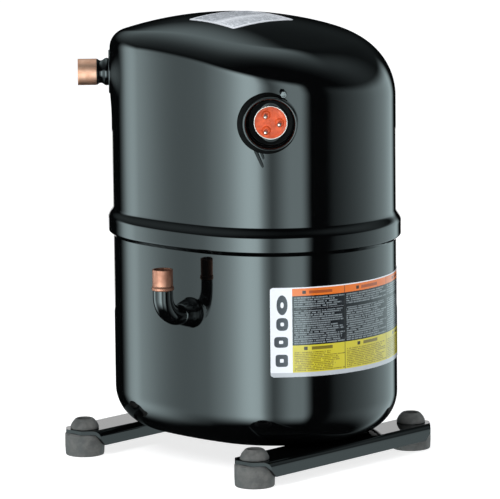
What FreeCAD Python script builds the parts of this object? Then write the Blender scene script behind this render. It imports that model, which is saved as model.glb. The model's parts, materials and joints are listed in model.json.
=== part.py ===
import FreeCAD, Part
import math
import os
import re

import Sketcher

# Hermetic reciprocating compressor, millimetres.
# Row frame: +Z up, +X along the mounting rails, +Y across them. The origin is on the
# floor, in the middle of the square of four mounting holes.

Vector = FreeCAD.Vector
Rotation = FreeCAD.Rotation
Placement = FreeCAD.Placement

UP = Vector(0, 0, 1)
TO_HEAD = Vector(0, -1, 0)

doc = FreeCAD.newDocument("HermeticCompressor")

# ------------------------------------------------------------------ driving dimensions

DIMENSIONS = {
    # welded shell
    "shell_x": 4.7, "shell_y": -5.0,
    "shell_half_width": 99.0, "shell_half_length": 122.6, "shell_end_radius": 97.5,
    "wall": 3.6, "shell_floor": 21.5, "knuckle_radius": 33.0,
    "crown_height": 363.4, "dome_radius": 296.0, "dome_x": -12.0, "dome_y": 12.0,
    "shoulder_small": 15.4, "shoulder_large": 51.5, "shoulder_azimuth": 139.0,
    "rim_step": 4.0, "rim_gap": 0.2, "rim_low": 184.0, "rim_high": 196.0, "flare_high": 205.0,
    "lower_edge": 194.0, "weld_low": 176.0,
    # rails and feet
    "foot_pitch": 190.5, "rail_width": 40.0, "rail_plate": 3.0, "rail_height": 12.5,
    "rail_overhang": 13.2, "rail_bend": 5.0, "rail_corner": 12.5, "flange_bevel": 5.0,
    "rail_hole_radius": 10.6,
    "grommet_radius": 16.3, "grommet_neck": 10.4, "grommet_cap": 11.8, "grommet_top": 30.1,
    "grommet_bore": 5.6, "sleeve_radius": 5.5, "sleeve_bore": 4.3, "sleeve_length": 27.0,
    # suction line
    "suction_azimuth": 134.5, "suction_height": 314.7, "suction_pad_radius": 20.5,
    "suction_pad_lift": -0.4, "suction_hole": 10.8, "suction_tube": 10.6, "suction_passage": 8.0,
    "suction_plate_radius": 18.0, "suction_plate": 2.2, "suction_end": 11.9,
    "suction_sleeve": 10.8, "suction_socket": 9.6, "suction_socket_depth": 14.0,
    # discharge line
    "discharge_y": -25.7, "discharge_height": 131.9, "discharge_reach": -125.5,
    "discharge_inside": -78.0, "discharge_tube": 8.1, "discharge_passage": 5.6,
    "discharge_bend": 17.0, "discharge_hole": 8.3, "discharge_top": 154.3,
    "discharge_collar": 12.0, "discharge_collar_length": 5.0,
    "discharge_sleeve": 8.2, "discharge_bead": 9.0, "discharge_socket": 6.4,
    "discharge_sleeve_length": 17.0, "discharge_socket_depth": 13.0,
    # electrical terminal
    "terminal_azimuth": 220.2, "terminal_height": 288.9,
    "fence_radius": 21.8, "fence_wall": 2.2, "fence_reach": 12.0, "fence_ledge": 17.7,
    "cup_radius": 14.6, "cup_wall": 1.0, "cup_reach": 3.0, "cup_depth": 8.0, "cup_flange": 18.4,
    "pin_radius": 1.6, "pin_root": 1.2, "pin_circle": 7.15, "pin_reach": 15.5, "pin_depth": 18.0,
    "pin_collar": 2.9, "pin_shoulder": 4.3, "stud_radius": 2.0, "stud_length": 9.0, "stud_seat": 1.2,
    "stud_head": 2.9, "stud_head_height": 2.6, "stud_right": 10.8, "stud_rise": 23.2,
    "strap_width": 6.0, "strap_length": 19.5, "strap_thickness": 1.4,
    "strap_slot_width": 1.6, "strap_slot_length": 10.0, "strap_slot_end": 3.5,
    "bail_radius": 24.0, "bail_aside": -2.6, "bail_rise": -0.6, "bail_reach": 5.0,
    # labels
    "nameplate_width": 67.0, "nameplate_length": 53.5, "foil": 0.3,
    "label_low": 83.5, "label_high": 156.0, "label_start": 219.0, "label_end": 318.0,
    # pump axis and cylinders
    "crank_x": 4.7, "crank_y": 15.0, "throw": 8.5, "rod_length": 48.0,
    "bore_radius": 25.4, "piston_radius": 25.35, "bore_low": 70.0, "bore_pitch": 57.0,
    "deck": 87.0, "block_half_width": 38.0, "block_low": 39.5, "block_high": 158.0,
    "barrel_radius": 43.0, "cavity_radius": 36.0, "cavity_top": 148.0,
    "flange_radius": 78.0, "flange_low": 150.0, "hub_radius": 20.0, "hub_top": 184.0,
    "ear_low": 76.0, "ear_high": 84.0, "ear_half_width": 61.0,
    "spring_x": 50.0, "spring_rear": 52.0, "spring_front": 40.0,
    "seat_low": 30.0, "seat_high": 33.0, "seat_radius": 11.0, "seat_nub": 5.5,
    "spring_coil": 8.0, "spring_wire": 1.5, "spring_turns": 6.0,
    "bush_wall": 3.0, "end_bush_top": 51.0,
    "running_gap": 0.05,
    # crankshaft
    "main_radius": 12.5, "middle_radius": 10.5, "tail_radius": 10.0,
    "eccentric_radius": 19.5, "eccentric_height": 15.0, "shaft_low": 34.0, "shaft_top": 292.0,
    "oilway_radius": 3.0, "pickup_low": 29.5,
    # rods and pistons
    "big_end_radius": 25.0, "small_end_radius": 8.5, "pin_bore": 5.5, "rod_thickness": 12.0,
    "shank_width": 12.0, "wrist_pin_length": 32.0,
    "crown_to_pin": 30.0, "crown_thickness": 4.1, "skirt_below_pin": 3.1, "pocket_radius": 22.0,
    "ring_groove": 1.6, "ring_depth": 1.9, "ring_first": 5.0, "ring_pitch": 4.5,
    # motor
    "stator_radius": 80.0, "stator_bore": 42.0, "stator_low": 188.0, "stator_high": 276.0,
    "slot_inner": 46.0, "slot_outer": 62.0, "slot_width": 6.0, "slots": 24.0,
    "winding_inner": 47.0, "winding_outer": 66.0, "winding_low": 166.0, "winding_high": 299.0,
    "rotor_radius": 41.6, "rotor_low": 186.0, "rotor_high": 278.0,
    "cage_inner": 26.0, "cage_outer": 40.0, "cage_height": 9.0, "weight_height": 9.0,
    "stud_circle": 73.5, "post_radius": 5.5, "motor_bolt": 3.0, "motor_bolt_hole": 3.3,
    # cylinder head stack
    "gasket": 0.8, "valve_plate": 5.0, "head": 24.0, "head_floor": 6.0,
    "port_radius": 4.5, "port_side": 12.0, "chamber_side": 3.0, "chamber_width": 23.0,
    "chamber_margin": 6.0, "reed_width": 12.0, "reed_length": 30.0, "stop_thickness": 2.5,
    "head_bolt": 3.0, "head_bolt_hole": 3.3, "head_bolt_x": 32.8, "head_thread": 16.0,
    "reed": 0.5,
    "muffler_radius": 17.0, "muffler_ahead": 18.0, "muffler_low": 158.5, "muffler_high": 206.0,
    "protector_radius": 9.0, "protector_height": 7.0,
    "loop_radius": 4.8, "lead_radius": 2.3, "lead_top": 316.0, "lead_bend": 5.0,
    "plug_depth": 30.0, "plug_height": 14.0,
}

sheet = doc.addObject("Spreadsheet::Sheet", "Dimensions")
for row, (alias, value) in enumerate(DIMENSIONS.items(), start=1):
    sheet.set("A%d" % row, alias.replace("_", " "))
    sheet.set("B%d" % row, str(value))
    sheet.setAlias("B%d" % row, alias)
doc.recompute()


def dim(alias):
    """The number that the sheet holds for an alias."""
    return float(sheet.get(alias))


def bound(text):
    """An expression in aliases, with each alias pointing at the sheet."""
    return re.sub(r"[a-z_]+", lambda word: "Dimensions." + word.group(0), text)


# ------------------------------------------------------------------ building helpers

nodes = []


def node(obj, name):
    """Names a finished sub-part; the name is its file's name too."""
    obj.Label = name
    nodes.append(obj)
    return obj


def at(x=0.0, y=0.0, z=0.0, axis=UP):
    """A placement at a point, with local Z turned to an axis."""
    return Placement(Vector(x, y, z), Rotation(UP, axis))


def primitive(kind, name, place, **sizes):
    """A Part primitive whose sizes are expressions in aliases."""
    obj = doc.addObject("Part::" + kind, name)
    for prop, text in sizes.items():
        obj.setExpression(prop, bound(text))
    obj.Placement = place
    return obj


def cylinder(name, radius, height, place):
    return primitive("Cylinder", name, place, Radius=radius, Height=height)


def box(name, length, width, height, place):
    return primitive("Box", name, place, Length=length, Width=width, Height=height)


def fixed_shape(name, shape):
    """A feature that holds a shape worked out by this file's own functions."""
    obj = doc.addObject("Part::Feature", name)
    obj.Shape = shape
    return obj


def fuse(name, parts):
    obj = doc.addObject("Part::MultiFuse", name)
    obj.Shapes = parts
    obj.Refine = True
    return obj


def cut(name, base, tools):
    obj = doc.addObject("Part::Cut", name)
    obj.Base = base
    obj.Tool = tools[0] if len(tools) == 1 else fuse(name + "_tools", tools)
    obj.Refine = True
    return obj


def group(name, parts):
    """Separate identical solids kept together as one sub-part."""
    obj = doc.addObject("Part::Compound", name)
    obj.Links = parts
    return obj


def origin_plane(body, role):
    return [plane for plane in body.Origin.OriginFeatures if plane.Role == role][0]


def profile_sketch(body, name, plane, points):
    """A closed outline; each corner is held by two distances, both expressions."""
    sketch = body.newObject("Sketcher::SketchObject", name)
    sketch.AttachmentSupport = (origin_plane(body, plane), [""])
    sketch.MapMode = "FlatFace"
    count = len(points)
    start = [Vector(10 + index, 10 + (index * index) % 7, 0) for index in range(count)]
    for index in range(count):
        sketch.addGeometry(Part.LineSegment(start[index], start[(index + 1) % count]))
    for index in range(count):
        sketch.addConstraint(Sketcher.Constraint("Coincident", index, 2, (index + 1) % count, 1))
    for index, (first, second) in enumerate(points):
        for kind, text in (("DistanceX", first), ("DistanceY", second)):
            number = sketch.addConstraint(Sketcher.Constraint(kind, -1, 1, index, 1, 1.0))
            sketch.setExpression("Constraints[%d]" % number, bound(text))
    return sketch


def turned(name, points, place):
    """A turned body: points are (radius, height) expressions round local Z."""
    body = doc.addObject("PartDesign::Body", name)
    sketch = profile_sketch(body, name + "_profile", "XZ_Plane", points)
    turn = body.newObject("PartDesign::Revolution", name + "_turn")
    turn.Profile = sketch
    turn.ReferenceAxis = (sketch, ["V_Axis"])
    turn.Angle = 360
    body.Placement = place
    return body


def padded(name, points, thickness, place, plane="XY_Plane"):
    """A plate: points are (x, y) expressions, padded along the plane's normal."""
    body = doc.addObject("PartDesign::Body", name)
    sketch = profile_sketch(body, name + "_profile", plane, points)
    pad = body.newObject("PartDesign::Pad", name + "_pad")
    pad.Profile = sketch
    pad.setExpression("Length", bound(thickness))
    body.Placement = place
    return body


def rounded_path(points, radius):
    """Straight runs joined by tangent arcs of one radius."""
    edges = []
    start = points[0]
    for index in range(1, len(points) - 1):
        corner = points[index]
        back = (points[index - 1] - corner).normalize()
        ahead = (points[index + 1] - corner).normalize()
        half = back.getAngle(ahead) / 2
        reach = radius / math.tan(half)
        middle = (back + ahead).normalize()
        centre = corner + middle * (radius / math.sin(half))
        first = corner + back * reach
        last = corner + ahead * reach
        edges.append(Part.LineSegment(start, first).toShape())
        edges.append(Part.Arc(first, centre - middle * radius, last).toShape())
        start = last
    edges.append(Part.LineSegment(start, points[-1]).toShape())
    return Part.Wire(edges)


def rod_along(points, bend, radius):
    """A round bar swept along a rounded path."""
    path = rounded_path(points, bend)
    direction = points[1] - points[0]
    section = Part.Wire([Part.Circle(points[0], direction, radius).toShape()])
    return path.makePipeShell([section], True, False)


# ------------------------------------------------------------------ shell outline

def shell_arcs(offset):
    """The plan oval as arcs: (centre x, centre y, radius, first angle, last angle)."""
    half_width = dim("shell_half_width")
    end_radius = dim("shell_end_radius")
    end_centre = dim("shell_half_length") - end_radius
    side_radius = (half_width ** 2 - end_radius ** 2 + end_centre ** 2) / (2 * (half_width - end_radius))
    side_centre = side_radius - half_width
    join = math.degrees(math.atan2(end_centre, side_centre))
    pieces = 4
    arcs = []
    for turn in (0, 180):
        sign = 1 if turn == 0 else -1
        arcs.append((-sign * side_centre, 0.0, side_radius + offset, turn - join, turn + join))
        step = (180 - 2 * join) / pieces
        for index in range(pieces):
            first = turn + join + step * index
            arcs.append((0.0, sign * end_centre, end_radius + offset, first, first + step))
    return arcs


def shell_point(arc, angle, z):
    x = dim("shell_x") + arc[0] + arc[2] * math.cos(math.radians(angle))
    y = dim("shell_y") + arc[1] + arc[2] * math.sin(math.radians(angle))
    return Vector(x, y, z)


def shell_wire(offset, z):
    edges = []
    for arc in shell_arcs(offset):
        middle = (arc[3] + arc[4]) / 2
        ends = [shell_point(arc, angle, z) for angle in (arc[3], middle, arc[4])]
        edges.append(Part.Arc(*ends).toShape())
    return Part.Wire(edges)


def shell_prism(offset, low, high):
    return Part.Face(shell_wire(offset, low)).extrude(Vector(0, 0, high - low))


def shell_flare(first_offset, low, second_offset, high):
    wires = [shell_wire(first_offset, low), shell_wire(second_offset, high)]
    return Part.makeLoft(wires, True, True)


def wall_point(azimuth, z, offset=0.0):
    """The point of the straight wall whose outward normal has this azimuth."""
    for arc in shell_arcs(offset):
        for angle in (azimuth, azimuth - 360):
            if arc[3] <= angle <= arc[4]:
                return shell_point(arc, angle, z)


def outward(azimuth):
    return Vector(math.cos(math.radians(azimuth)), math.sin(math.radians(azimuth)), 0)


def shoulder_radius(point, offset):
    """The shoulder is tight at the suction corner and large at the opposite one."""
    azimuth = min(
        (shell_point(arc, angle, point.z).distanceToPoint(point), angle)
        for arc in shell_arcs(offset)
        for angle in (arc[3], arc[4])
    )[1]
    share = (1 - math.cos(math.radians(azimuth - dim("shoulder_azimuth")))) / 2
    return dim("shoulder_small") + share * (dim("shoulder_large") - dim("shoulder_small")) + offset


def dome_solid(offset, low):
    """The upper shell's solid form: straight walls under a dome, with a varying shoulder."""
    crown = dim("crown_height")
    radius = dim("dome_radius")
    centre = Vector(dim("shell_x") + dim("dome_x"), dim("shell_y") + dim("dome_y"), crown - radius)
    ball = Part.makeSphere(radius + offset, centre)
    joint = wall_point(90, crown, offset) - centre
    ball.rotate(centre, UP, math.degrees(math.atan2(joint.y, joint.x)))
    block = shell_prism(offset, low, crown + 1).common(ball)
    plain = fixed_shape("dome_%d" % len(doc.Objects), block)
    radii = []
    for number, edge in enumerate(plain.Shape.Edges, start=1):
        ends = edge.Vertexes
        if len(ends) == 2 and all(crown - 60 < end.Z < crown - 12 for end in ends):
            pair = [shoulder_radius(end.Point, offset) for end in ends]
            radii.append((number, pair[0], pair[1]))
    fillet = doc.addObject("Part::Fillet", "shoulder_%d" % len(doc.Objects))
    fillet.Base = plain
    fillet.Edges = radii
    doc.recompute()
    return fillet.Shape


def bowl_solid(offset, high):
    """The lower shell's solid form: straight walls and a rounded bottom edge."""
    low = dim("shell_floor") - offset
    block = shell_prism(offset, low, high)
    rim = [edge for edge in block.Edges if all(abs(end.Z - low) < 0.01 for end in edge.Vertexes)]
    return block.makeFillet(dim("knuckle_radius") + offset, rim)


rim_step = dim("rim_step")
rim_gap = dim("rim_gap")
rim_low = dim("rim_low")
rim_high = dim("rim_high")
flare_high = dim("flare_high")
wall = dim("wall")

# ------------------------------------------------------------------ upper shell

suction_wall = wall_point(dim("suction_azimuth"), dim("suction_height"))
suction_axis = outward(dim("suction_azimuth"))
suction_face = suction_wall + suction_axis * dim("suction_pad_lift")
terminal_wall = wall_point(dim("terminal_azimuth"), dim("terminal_height"))
terminal_axis = outward(dim("terminal_azimuth"))

outer_dome = dome_solid(0.0, flare_high - 0.5)
inner_dome = dome_solid(-wall, flare_high - 1.0)
flare_drop = 1.0

pad_depth = 12.0
pad = Part.makeCylinder(dim("suction_pad_radius"), pad_depth, suction_face - suction_axis * pad_depth,
                        suction_axis)
pad_edges = [edge for edge in pad.Edges
             if abs((edge.CenterOfMass - suction_face).dot(suction_axis)) < 0.01]
pad = pad.makeFillet(0.8, pad_edges)

upper_outer = outer_dome.fuse([
    shell_prism(rim_step, rim_low, rim_high),
    shell_flare(rim_step, rim_high, 0.0, flare_high),
    pad,
])
upper_inner = inner_dome.fuse([
    shell_prism(rim_gap, rim_low - 1, rim_high - flare_drop),
    shell_flare(rim_gap, rim_high - flare_drop, -wall, flare_high - flare_drop),
])
suction_bore = Part.makeCylinder(dim("suction_hole"), 40, suction_face - suction_axis * 30, suction_axis)
terminal_bore = Part.makeCylinder(dim("cup_radius") + 0.05, 40, terminal_wall - terminal_axis * 30,
                                  terminal_axis)
suction_seat = Part.makeCylinder(dim("suction_pad_radius"), pad_depth, suction_face, suction_axis)
upper = upper_outer.cut(upper_inner).cut([suction_bore, suction_seat, terminal_bore])
node(fixed_shape("UpperShell", upper), "upper_shell")

# ------------------------------------------------------------------ lower shell

discharge_y = dim("discharge_y")
discharge_height = dim("discharge_height")
lower_outer = bowl_solid(0.0, dim("lower_edge"))
lower_inner = bowl_solid(-wall, dim("lower_edge") + 1)
discharge_bore = Part.makeCylinder(dim("discharge_hole"), 60, Vector(-60, discharge_y, discharge_height),
                                   Vector(-1, 0, 0))
lower = lower_outer.cut(lower_inner).cut(discharge_bore)
node(fixed_shape("LowerShell", lower), "lower_shell")

weld = shell_flare(rim_gap, dim("weld_low"), rim_step - 0.2, rim_low)
weld = weld.cut(shell_prism(0.0, dim("weld_low") - 1, rim_low + 1))
node(fixed_shape("SeamWeld", weld), "seam_weld_bead")

# ------------------------------------------------------------------ mounting rails

half_pitch = dim("foot_pitch") / 2


def mounting_rail(name, y):
    """A pressed channel, open downwards, with a bevelled plate at each end."""
    low = dim("shell_floor") - dim("rail_height")
    half_length = half_pitch + dim("rail_overhang")
    outer = box(name + "_blank", "foot_pitch + 2 * rail_overhang", "rail_width", "rail_height",
                at(-half_length, y - dim("rail_width") / 2, low))
    inner = box(name + "_hollow", "foot_pitch + 2 * rail_overhang + 2", "rail_width - 2 * rail_plate",
                "rail_height - rail_plate + 1",
                at(-half_length - 1, y - dim("rail_width") / 2 + dim("rail_plate"), low - 1))
    doc.recompute()
    rounded = []
    for blank, radius in ((outer, dim("rail_bend")), (inner, dim("rail_bend") - dim("rail_plate"))):
        top = blank.Shape.BoundBox.ZMax
        long_edges = [
            number for number, edge in enumerate(blank.Shape.Edges, start=1)
            if all(abs(end.Z - top) < 0.01 for end in edge.Vertexes) and edge.BoundBox.YLength < 0.01
        ]
        fillet = doc.addObject("Part::Fillet", blank.Name + "_bends")
        fillet.Base = blank
        fillet.Edges = [(number, radius, radius) for number in long_edges]
        rounded.append(fillet)
    tools = [rounded[1]]
    plate_low = "rail_height - rail_plate"
    for side in (1, -1):
        x = side * half_pitch
        hole = cylinder("%s_hole_%d" % (name, side), "rail_hole_radius", "rail_height + 2",
                        at(x, y, low - 1))
        turn = Rotation(UP, 0 if side > 0 else 180)
        bevel = padded("%s_bevel_%d" % (name, side), [
            ("flange_bevel", plate_low), ("rail_overhang + 2", plate_low),
            ("rail_overhang + 2", "0 - 1"), ("0 - flange_bevel", "0 - 1"),
        ], "rail_width + 2", Placement(), "XZ_Plane")
        bevel.Placement = Placement(Vector(x, y + side * (dim("rail_width") / 2 + 1), low), turn)
        tools += [hole, bevel]
        for edge in (1, -1):
            corner = padded("%s_corner_%d_%d" % (name, side, edge), [
                ("0 - rail_corner", "0 + 1"), ("0 + 1", "0 + 1"), ("0 + 1", "0 - rail_corner"),
            ], "rail_height + 2", Placement())
            spin = {(1, 1): 0, (-1, 1): 90, (-1, -1): 180, (1, -1): 270}[(side, edge)]
            corner.Placement = Placement(
                Vector(side * half_length, y + edge * dim("rail_width") / 2, low - 1),
                Rotation(UP, spin))
            tools.append(corner)
    node(cut(name, rounded[0], tools), name)


mounting_rail("mounting_rail_front", -half_pitch)
mounting_rail("mounting_rail_rear", half_pitch)

# ------------------------------------------------------------------ feet

FEET = {
    "front_left": (-half_pitch, -half_pitch), "front_right": (half_pitch, -half_pitch),
    "rear_left": (-half_pitch, half_pitch), "rear_right": (half_pitch, half_pitch),
}
PLATE_LOW = "shell_floor - rail_plate"
sleeves = []
for place_name, (x, y) in FEET.items():
    grommet = turned("grommet_" + place_name, [
        ("grommet_bore", "0 + 0"), ("grommet_radius - 1", "0 + 0"), ("grommet_radius", "0 + 1"),
        ("grommet_radius", PLATE_LOW + " - 1.5"), ("grommet_radius - 1.5", PLATE_LOW),
        ("grommet_neck", PLATE_LOW), ("grommet_neck", "shell_floor"),
        ("grommet_cap", "shell_floor"), ("grommet_cap", "shell_floor + 2.2"),
        ("grommet_cap - 1.3", "shell_floor + 4.8"), ("grommet_bore + 2.4", "grommet_top - 0.9"),
        ("grommet_bore + 0.9", "grommet_top"),
        ("grommet_bore", "grommet_top"),
    ], at(x, y))
    node(grommet, "grommet_" + place_name)
    sleeves.append(turned("sleeve_" + place_name, [
        ("sleeve_bore", "0 + 0"), ("sleeve_radius", "0 + 0"),
        ("sleeve_radius", "sleeve_length"), ("sleeve_bore", "sleeve_length"),
    ], at(x, y)))
node(group("grommet_sleeves", sleeves), "grommet_sleeves")

# ------------------------------------------------------------------ suction line

suction_place = Placement(suction_face, Rotation(UP, suction_axis))
node(turned("suction_fitting", [
    ("suction_passage", "0 - 12"), ("suction_tube", "0 - 12"), ("suction_tube", "0 + 0"),
    ("suction_plate_radius - 0.4", "0 + 0"), ("suction_plate_radius", "0 + 0.4"),
    ("suction_plate_radius", "suction_plate"), ("suction_tube - 0.2", "suction_plate"),
    ("suction_tube + 0.6", "suction_plate + 0.6"), ("suction_tube + 0.8", "suction_plate + 1.8"),
    ("suction_tube + 0.5", "suction_plate + 2.9"), ("suction_tube - 0.4", "suction_plate + 4.1"),
    ("suction_tube - 1.2", "suction_plate + 5.3"), ("suction_tube - 1.4", "suction_plate + 6.5"),
    ("suction_tube - 1.1", "suction_plate + 7.7"), ("suction_tube - 0.1", "suction_plate + 8.8"),
    ("suction_tube + 0.1", "suction_end"), ("suction_passage", "suction_end"),
], suction_place), "suction_fitting")
node(turned("suction_stub", [
    ("suction_passage", "suction_end"), ("suction_sleeve", "suction_end"),
    ("suction_sleeve", "suction_end + suction_socket_depth + 1.2"),
    ("suction_sleeve - 0.3", "suction_end + suction_socket_depth + 1.5"),
    ("suction_socket", "suction_end + suction_socket_depth + 1.5"),
    ("suction_socket", "suction_end + 1.5"), ("suction_passage", "suction_end + 1.5"),
], suction_place), "suction_stub")

# ------------------------------------------------------------------ discharge line

reach = dim("discharge_reach")
bend = dim("discharge_bend")


def elbow_form(name, radius):
    """Horizontal run, quarter bend and rising run as one solid bar."""
    run = cylinder(name + "_run", radius, "0 - discharge_reach - discharge_bend + discharge_inside",
                   at(reach + bend, discharge_y, discharge_height, Vector(1, 0, 0)))
    turn = primitive("Torus", name + "_turn", Placement(), Radius1="discharge_bend", Radius2=radius)
    turn.Angle3 = 90
    turn.Placement = Placement(Vector(reach + bend, discharge_y, discharge_height + bend),
                               Rotation(Vector(-1, 0, 0), Vector(0, 0, -1), Vector(0, -1, 0), "XYZ"))
    rise = cylinder(name + "_rise", radius, "discharge_top - discharge_height - discharge_bend",
                    at(reach, discharge_y, discharge_height + bend))
    return fuse(name, [run, turn, rise])


elbow_tube = cut("elbow_tube", elbow_form("elbow_outside", "discharge_tube"),
                 [elbow_form("elbow_passage", "discharge_passage")])
node(elbow_tube, "discharge_elbow")

collar_x = wall_point(180, discharge_height).x - 1.2
collar = turned("discharge_collar", [
    ("discharge_tube + 0.02", "0 + 0"), ("discharge_tube + 0.02", "discharge_collar_length"),
    ("discharge_tube + 0.4", "discharge_collar_length"),
    ("discharge_tube + 1.4", "discharge_collar_length - 1.8"),
    ("discharge_collar - 1.2", "discharge_collar_length - 3.2"), ("discharge_collar + 0.4", "0 + 0"),
], at(collar_x + 1.6, discharge_y, discharge_height, Vector(-1, 0, 0)))
collar_trim = fixed_shape("discharge_collar_trim", lower_outer.copy())
node(cut("discharge_weld_collar", collar, [collar_trim]), "discharge_weld_collar")

node(turned("discharge_stub", [
    ("discharge_passage", "0 + 0"), ("discharge_bead - 0.5", "0 + 0"), ("discharge_bead", "0 + 0.8"),
    ("discharge_bead", "0 + 2.2"), ("discharge_sleeve", "0 + 3.4"),
    ("discharge_sleeve", "discharge_sleeve_length"),
    ("discharge_socket", "discharge_sleeve_length"),
    ("discharge_socket", "discharge_sleeve_length - discharge_socket_depth"),
    ("discharge_passage", "discharge_sleeve_length - discharge_socket_depth"),
], at(reach, discharge_y, dim("discharge_top"))), "discharge_stub")

# ------------------------------------------------------------------ electrical terminal

terminal_right = UP.cross(terminal_axis)


def terminal_place(right=0.0, rise=0.0, out=0.0):
    """A placement on the terminal's axis: right and rise are seen from outside."""
    point = terminal_wall + terminal_right * right + UP * rise + terminal_axis * out
    return Placement(point, Rotation(terminal_right, UP, terminal_axis, "ZXY"))


fence = turned("terminal_fence_blank", [
    ("fence_ledge", "0 - 6"), ("fence_radius", "0 - 6"),
    ("fence_radius", "fence_reach - 0.6"), ("fence_radius - 0.6", "fence_reach"),
    ("fence_radius - fence_wall + 0.6", "fence_reach"),
    ("fence_radius - fence_wall", "fence_reach - 0.6"), ("fence_radius - fence_wall", "0 + 5.4"),
    ("fence_ledge + 0.5", "0 + 4.8"), ("fence_ledge", "0 + 4.3"),
], terminal_place())
fence_trim = fixed_shape("terminal_fence_trim", shell_prism(0.0, 200, 345))
node(cut("terminal_fence_cut", fence, [fence_trim]), "terminal_fence")

node(turned("terminal_cup", [
    ("cup_radius - cup_wall", "cup_reach"), ("cup_radius", "cup_reach"),
    ("cup_radius", "0 - cup_depth + 2"), ("cup_flange", "0 - cup_depth + 2"),
    ("cup_flange", "0 - cup_depth"), ("cup_radius - cup_wall", "0 - cup_depth"),
], terminal_place()), "terminal_cup")


def around_terminal(radius, out):
    """Three placements on the pin circle."""
    places = []
    for angle in (0, 120, 240):
        right = radius * math.cos(math.radians(angle))
        rise = radius * math.sin(math.radians(angle))
        places.append(terminal_place(right, rise, out))
    return places


glass = cylinder("terminal_glass_disc", "cup_radius - cup_wall", "cup_depth + cup_reach - 2",
                 terminal_place(out=-dim("cup_depth") + 0.5))
glass_collars = [
    cylinder("terminal_collar_%d" % number, "pin_collar", "cup_depth + 3.2", place)
    for number, place in enumerate(around_terminal(dim("pin_circle"), -dim("cup_depth") + 0.5))
]
pin_holes = [
    cylinder("terminal_pin_hole_%d" % number, "pin_root", "pin_depth * 2", place)
    for number, place in enumerate(around_terminal(dim("pin_circle"), -dim("pin_depth")))
]
node(cut("terminal_insulator", fuse("terminal_glass", [glass] + glass_collars), pin_holes),
     "terminal_insulator")

pins = []
for number, place in enumerate(around_terminal(dim("pin_circle"), 0.0)):
    pins.append(turned("terminal_pin_%d" % number, [
        ("0 + 0", "0 - pin_depth"), ("pin_root", "0 - pin_depth"), ("pin_root", "pin_shoulder"),
        ("pin_radius", "pin_shoulder"), ("pin_radius", "pin_reach - 0.8"),
        ("pin_radius - 0.7", "pin_reach"), ("0 + 0", "pin_reach"),
    ], place))
node(group("terminal_pins", pins), "terminal_pins")

stud_right = dim("stud_right")
stud_rise = dim("stud_rise")
stud_shank = cylinder("ground_stud_shank", "stud_radius", "stud_length",
                      terminal_place(stud_right, stud_rise, -dim("stud_seat")))
stud_head = primitive("Prism", "ground_stud_head",
                      terminal_place(stud_right, stud_rise, dim("stud_length") - dim("stud_seat")),
                      Circumradius="stud_head", Height="stud_head_height")
stud_head.Polygon = 6
stud_trim = fixed_shape("ground_stud_trim", shell_prism(0.0, 200, 345))
node(cut("ground_stud_cut", fuse("ground_stud_blank", [stud_shank, stud_head]), [stud_trim]),
     "ground_stud")

strap_tilt = 23.5
strap_blank = box("cover_strap_blank", "strap_width", "strap_length", "strap_thickness",
                  at(-dim("strap_width") / 2, -dim("strap_length")))
strap_slot = box("cover_strap_slot", "strap_slot_width", "strap_slot_length", "strap_thickness + 2",
                 at(-dim("strap_slot_width") / 2, dim("strap_slot_end") - dim("strap_length"), -1))
strap_flat = cut("cover_strap_flat", strap_blank, [strap_slot])
strap_flat.Placement = terminal_place(-12.6, -17.6, 0.4).multiply(
    Placement(Vector(), Rotation(UP, strap_tilt)))
fence_solid = cylinder("cover_strap_trim", "fence_radius + 0.02", "fence_reach + 8",
                       terminal_place(out=-6.0))
bail_blank = cylinder("cover_bail_blank", "bail_radius", "bail_reach + 6",
                      terminal_place(dim("bail_aside"), dim("bail_rise"), -6.0))
bail_trim = fixed_shape("cover_bail_trim", shell_prism(0.0, 200, 345))
strap = cut("cover_strap", fuse("cover_bail", [strap_flat, bail_blank]), [fence_solid, bail_trim])
node(strap, "terminal_cover_strap")

# ------------------------------------------------------------------ labels

foil = dim("foil")
plate_corner = Vector(-49.7, -35.4, 0)
plate_turn = -4.0
crown_radius = dim("dome_radius")
crown_centre = Vector(dim("shell_x") + dim("dome_x"), dim("shell_y") + dim("dome_y"),
                      dim("crown_height") - crown_radius)
skin = Part.makeSphere(crown_radius + foil, crown_centre).cut(Part.makeSphere(crown_radius, crown_centre))
stamp = Part.makeBox(dim("nameplate_width"), dim("nameplate_length"), 80)
stamp = stamp.makeFillet(2.0, [edge for edge in stamp.Edges if edge.BoundBox.ZLength > 70])
stamp.Placement = Placement(plate_corner + UP * 320, Rotation(UP, plate_turn))
node(fixed_shape("Nameplate", skin.common(stamp)), "nameplate")


def wall_label(first, last, low, high):
    """A foil wrapped on the straight wall between two azimuths."""
    arcs = []
    for arc in shell_arcs(0.0):
        start = max(first - 360, arc[3]) if arc[4] <= 0 else max(first, arc[3])
        end = min(last - 360, arc[4]) if arc[4] <= 0 else min(last, arc[4])
        if start < end:
            arcs.append((arc, start, end))
    face_arc = arcs[0][0]
    start = arcs[0][1]
    end = arcs[-1][2]
    middle = (start + end) / 2
    thick = (face_arc[0], face_arc[1], face_arc[2] + foil)
    inside = [shell_point(face_arc, angle, low) for angle in (start, middle, end)]
    outside = [shell_point(thick, angle, low) for angle in (start, middle, end)]
    edges = [
        Part.Arc(*inside).toShape(),
        Part.LineSegment(inside[2], outside[2]).toShape(),
        Part.Arc(*outside[::-1]).toShape(),
        Part.LineSegment(outside[0], inside[0]).toShape(),
    ]
    return Part.Face(Part.Wire(edges)).extrude(Vector(0, 0, high - low))


node(fixed_shape("SideLabel", wall_label(dim("label_start"), dim("label_end"), dim("label_low"),
                                         dim("label_high"))), "side_label")

# ------------------------------------------------------------------ cylinder block

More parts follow.
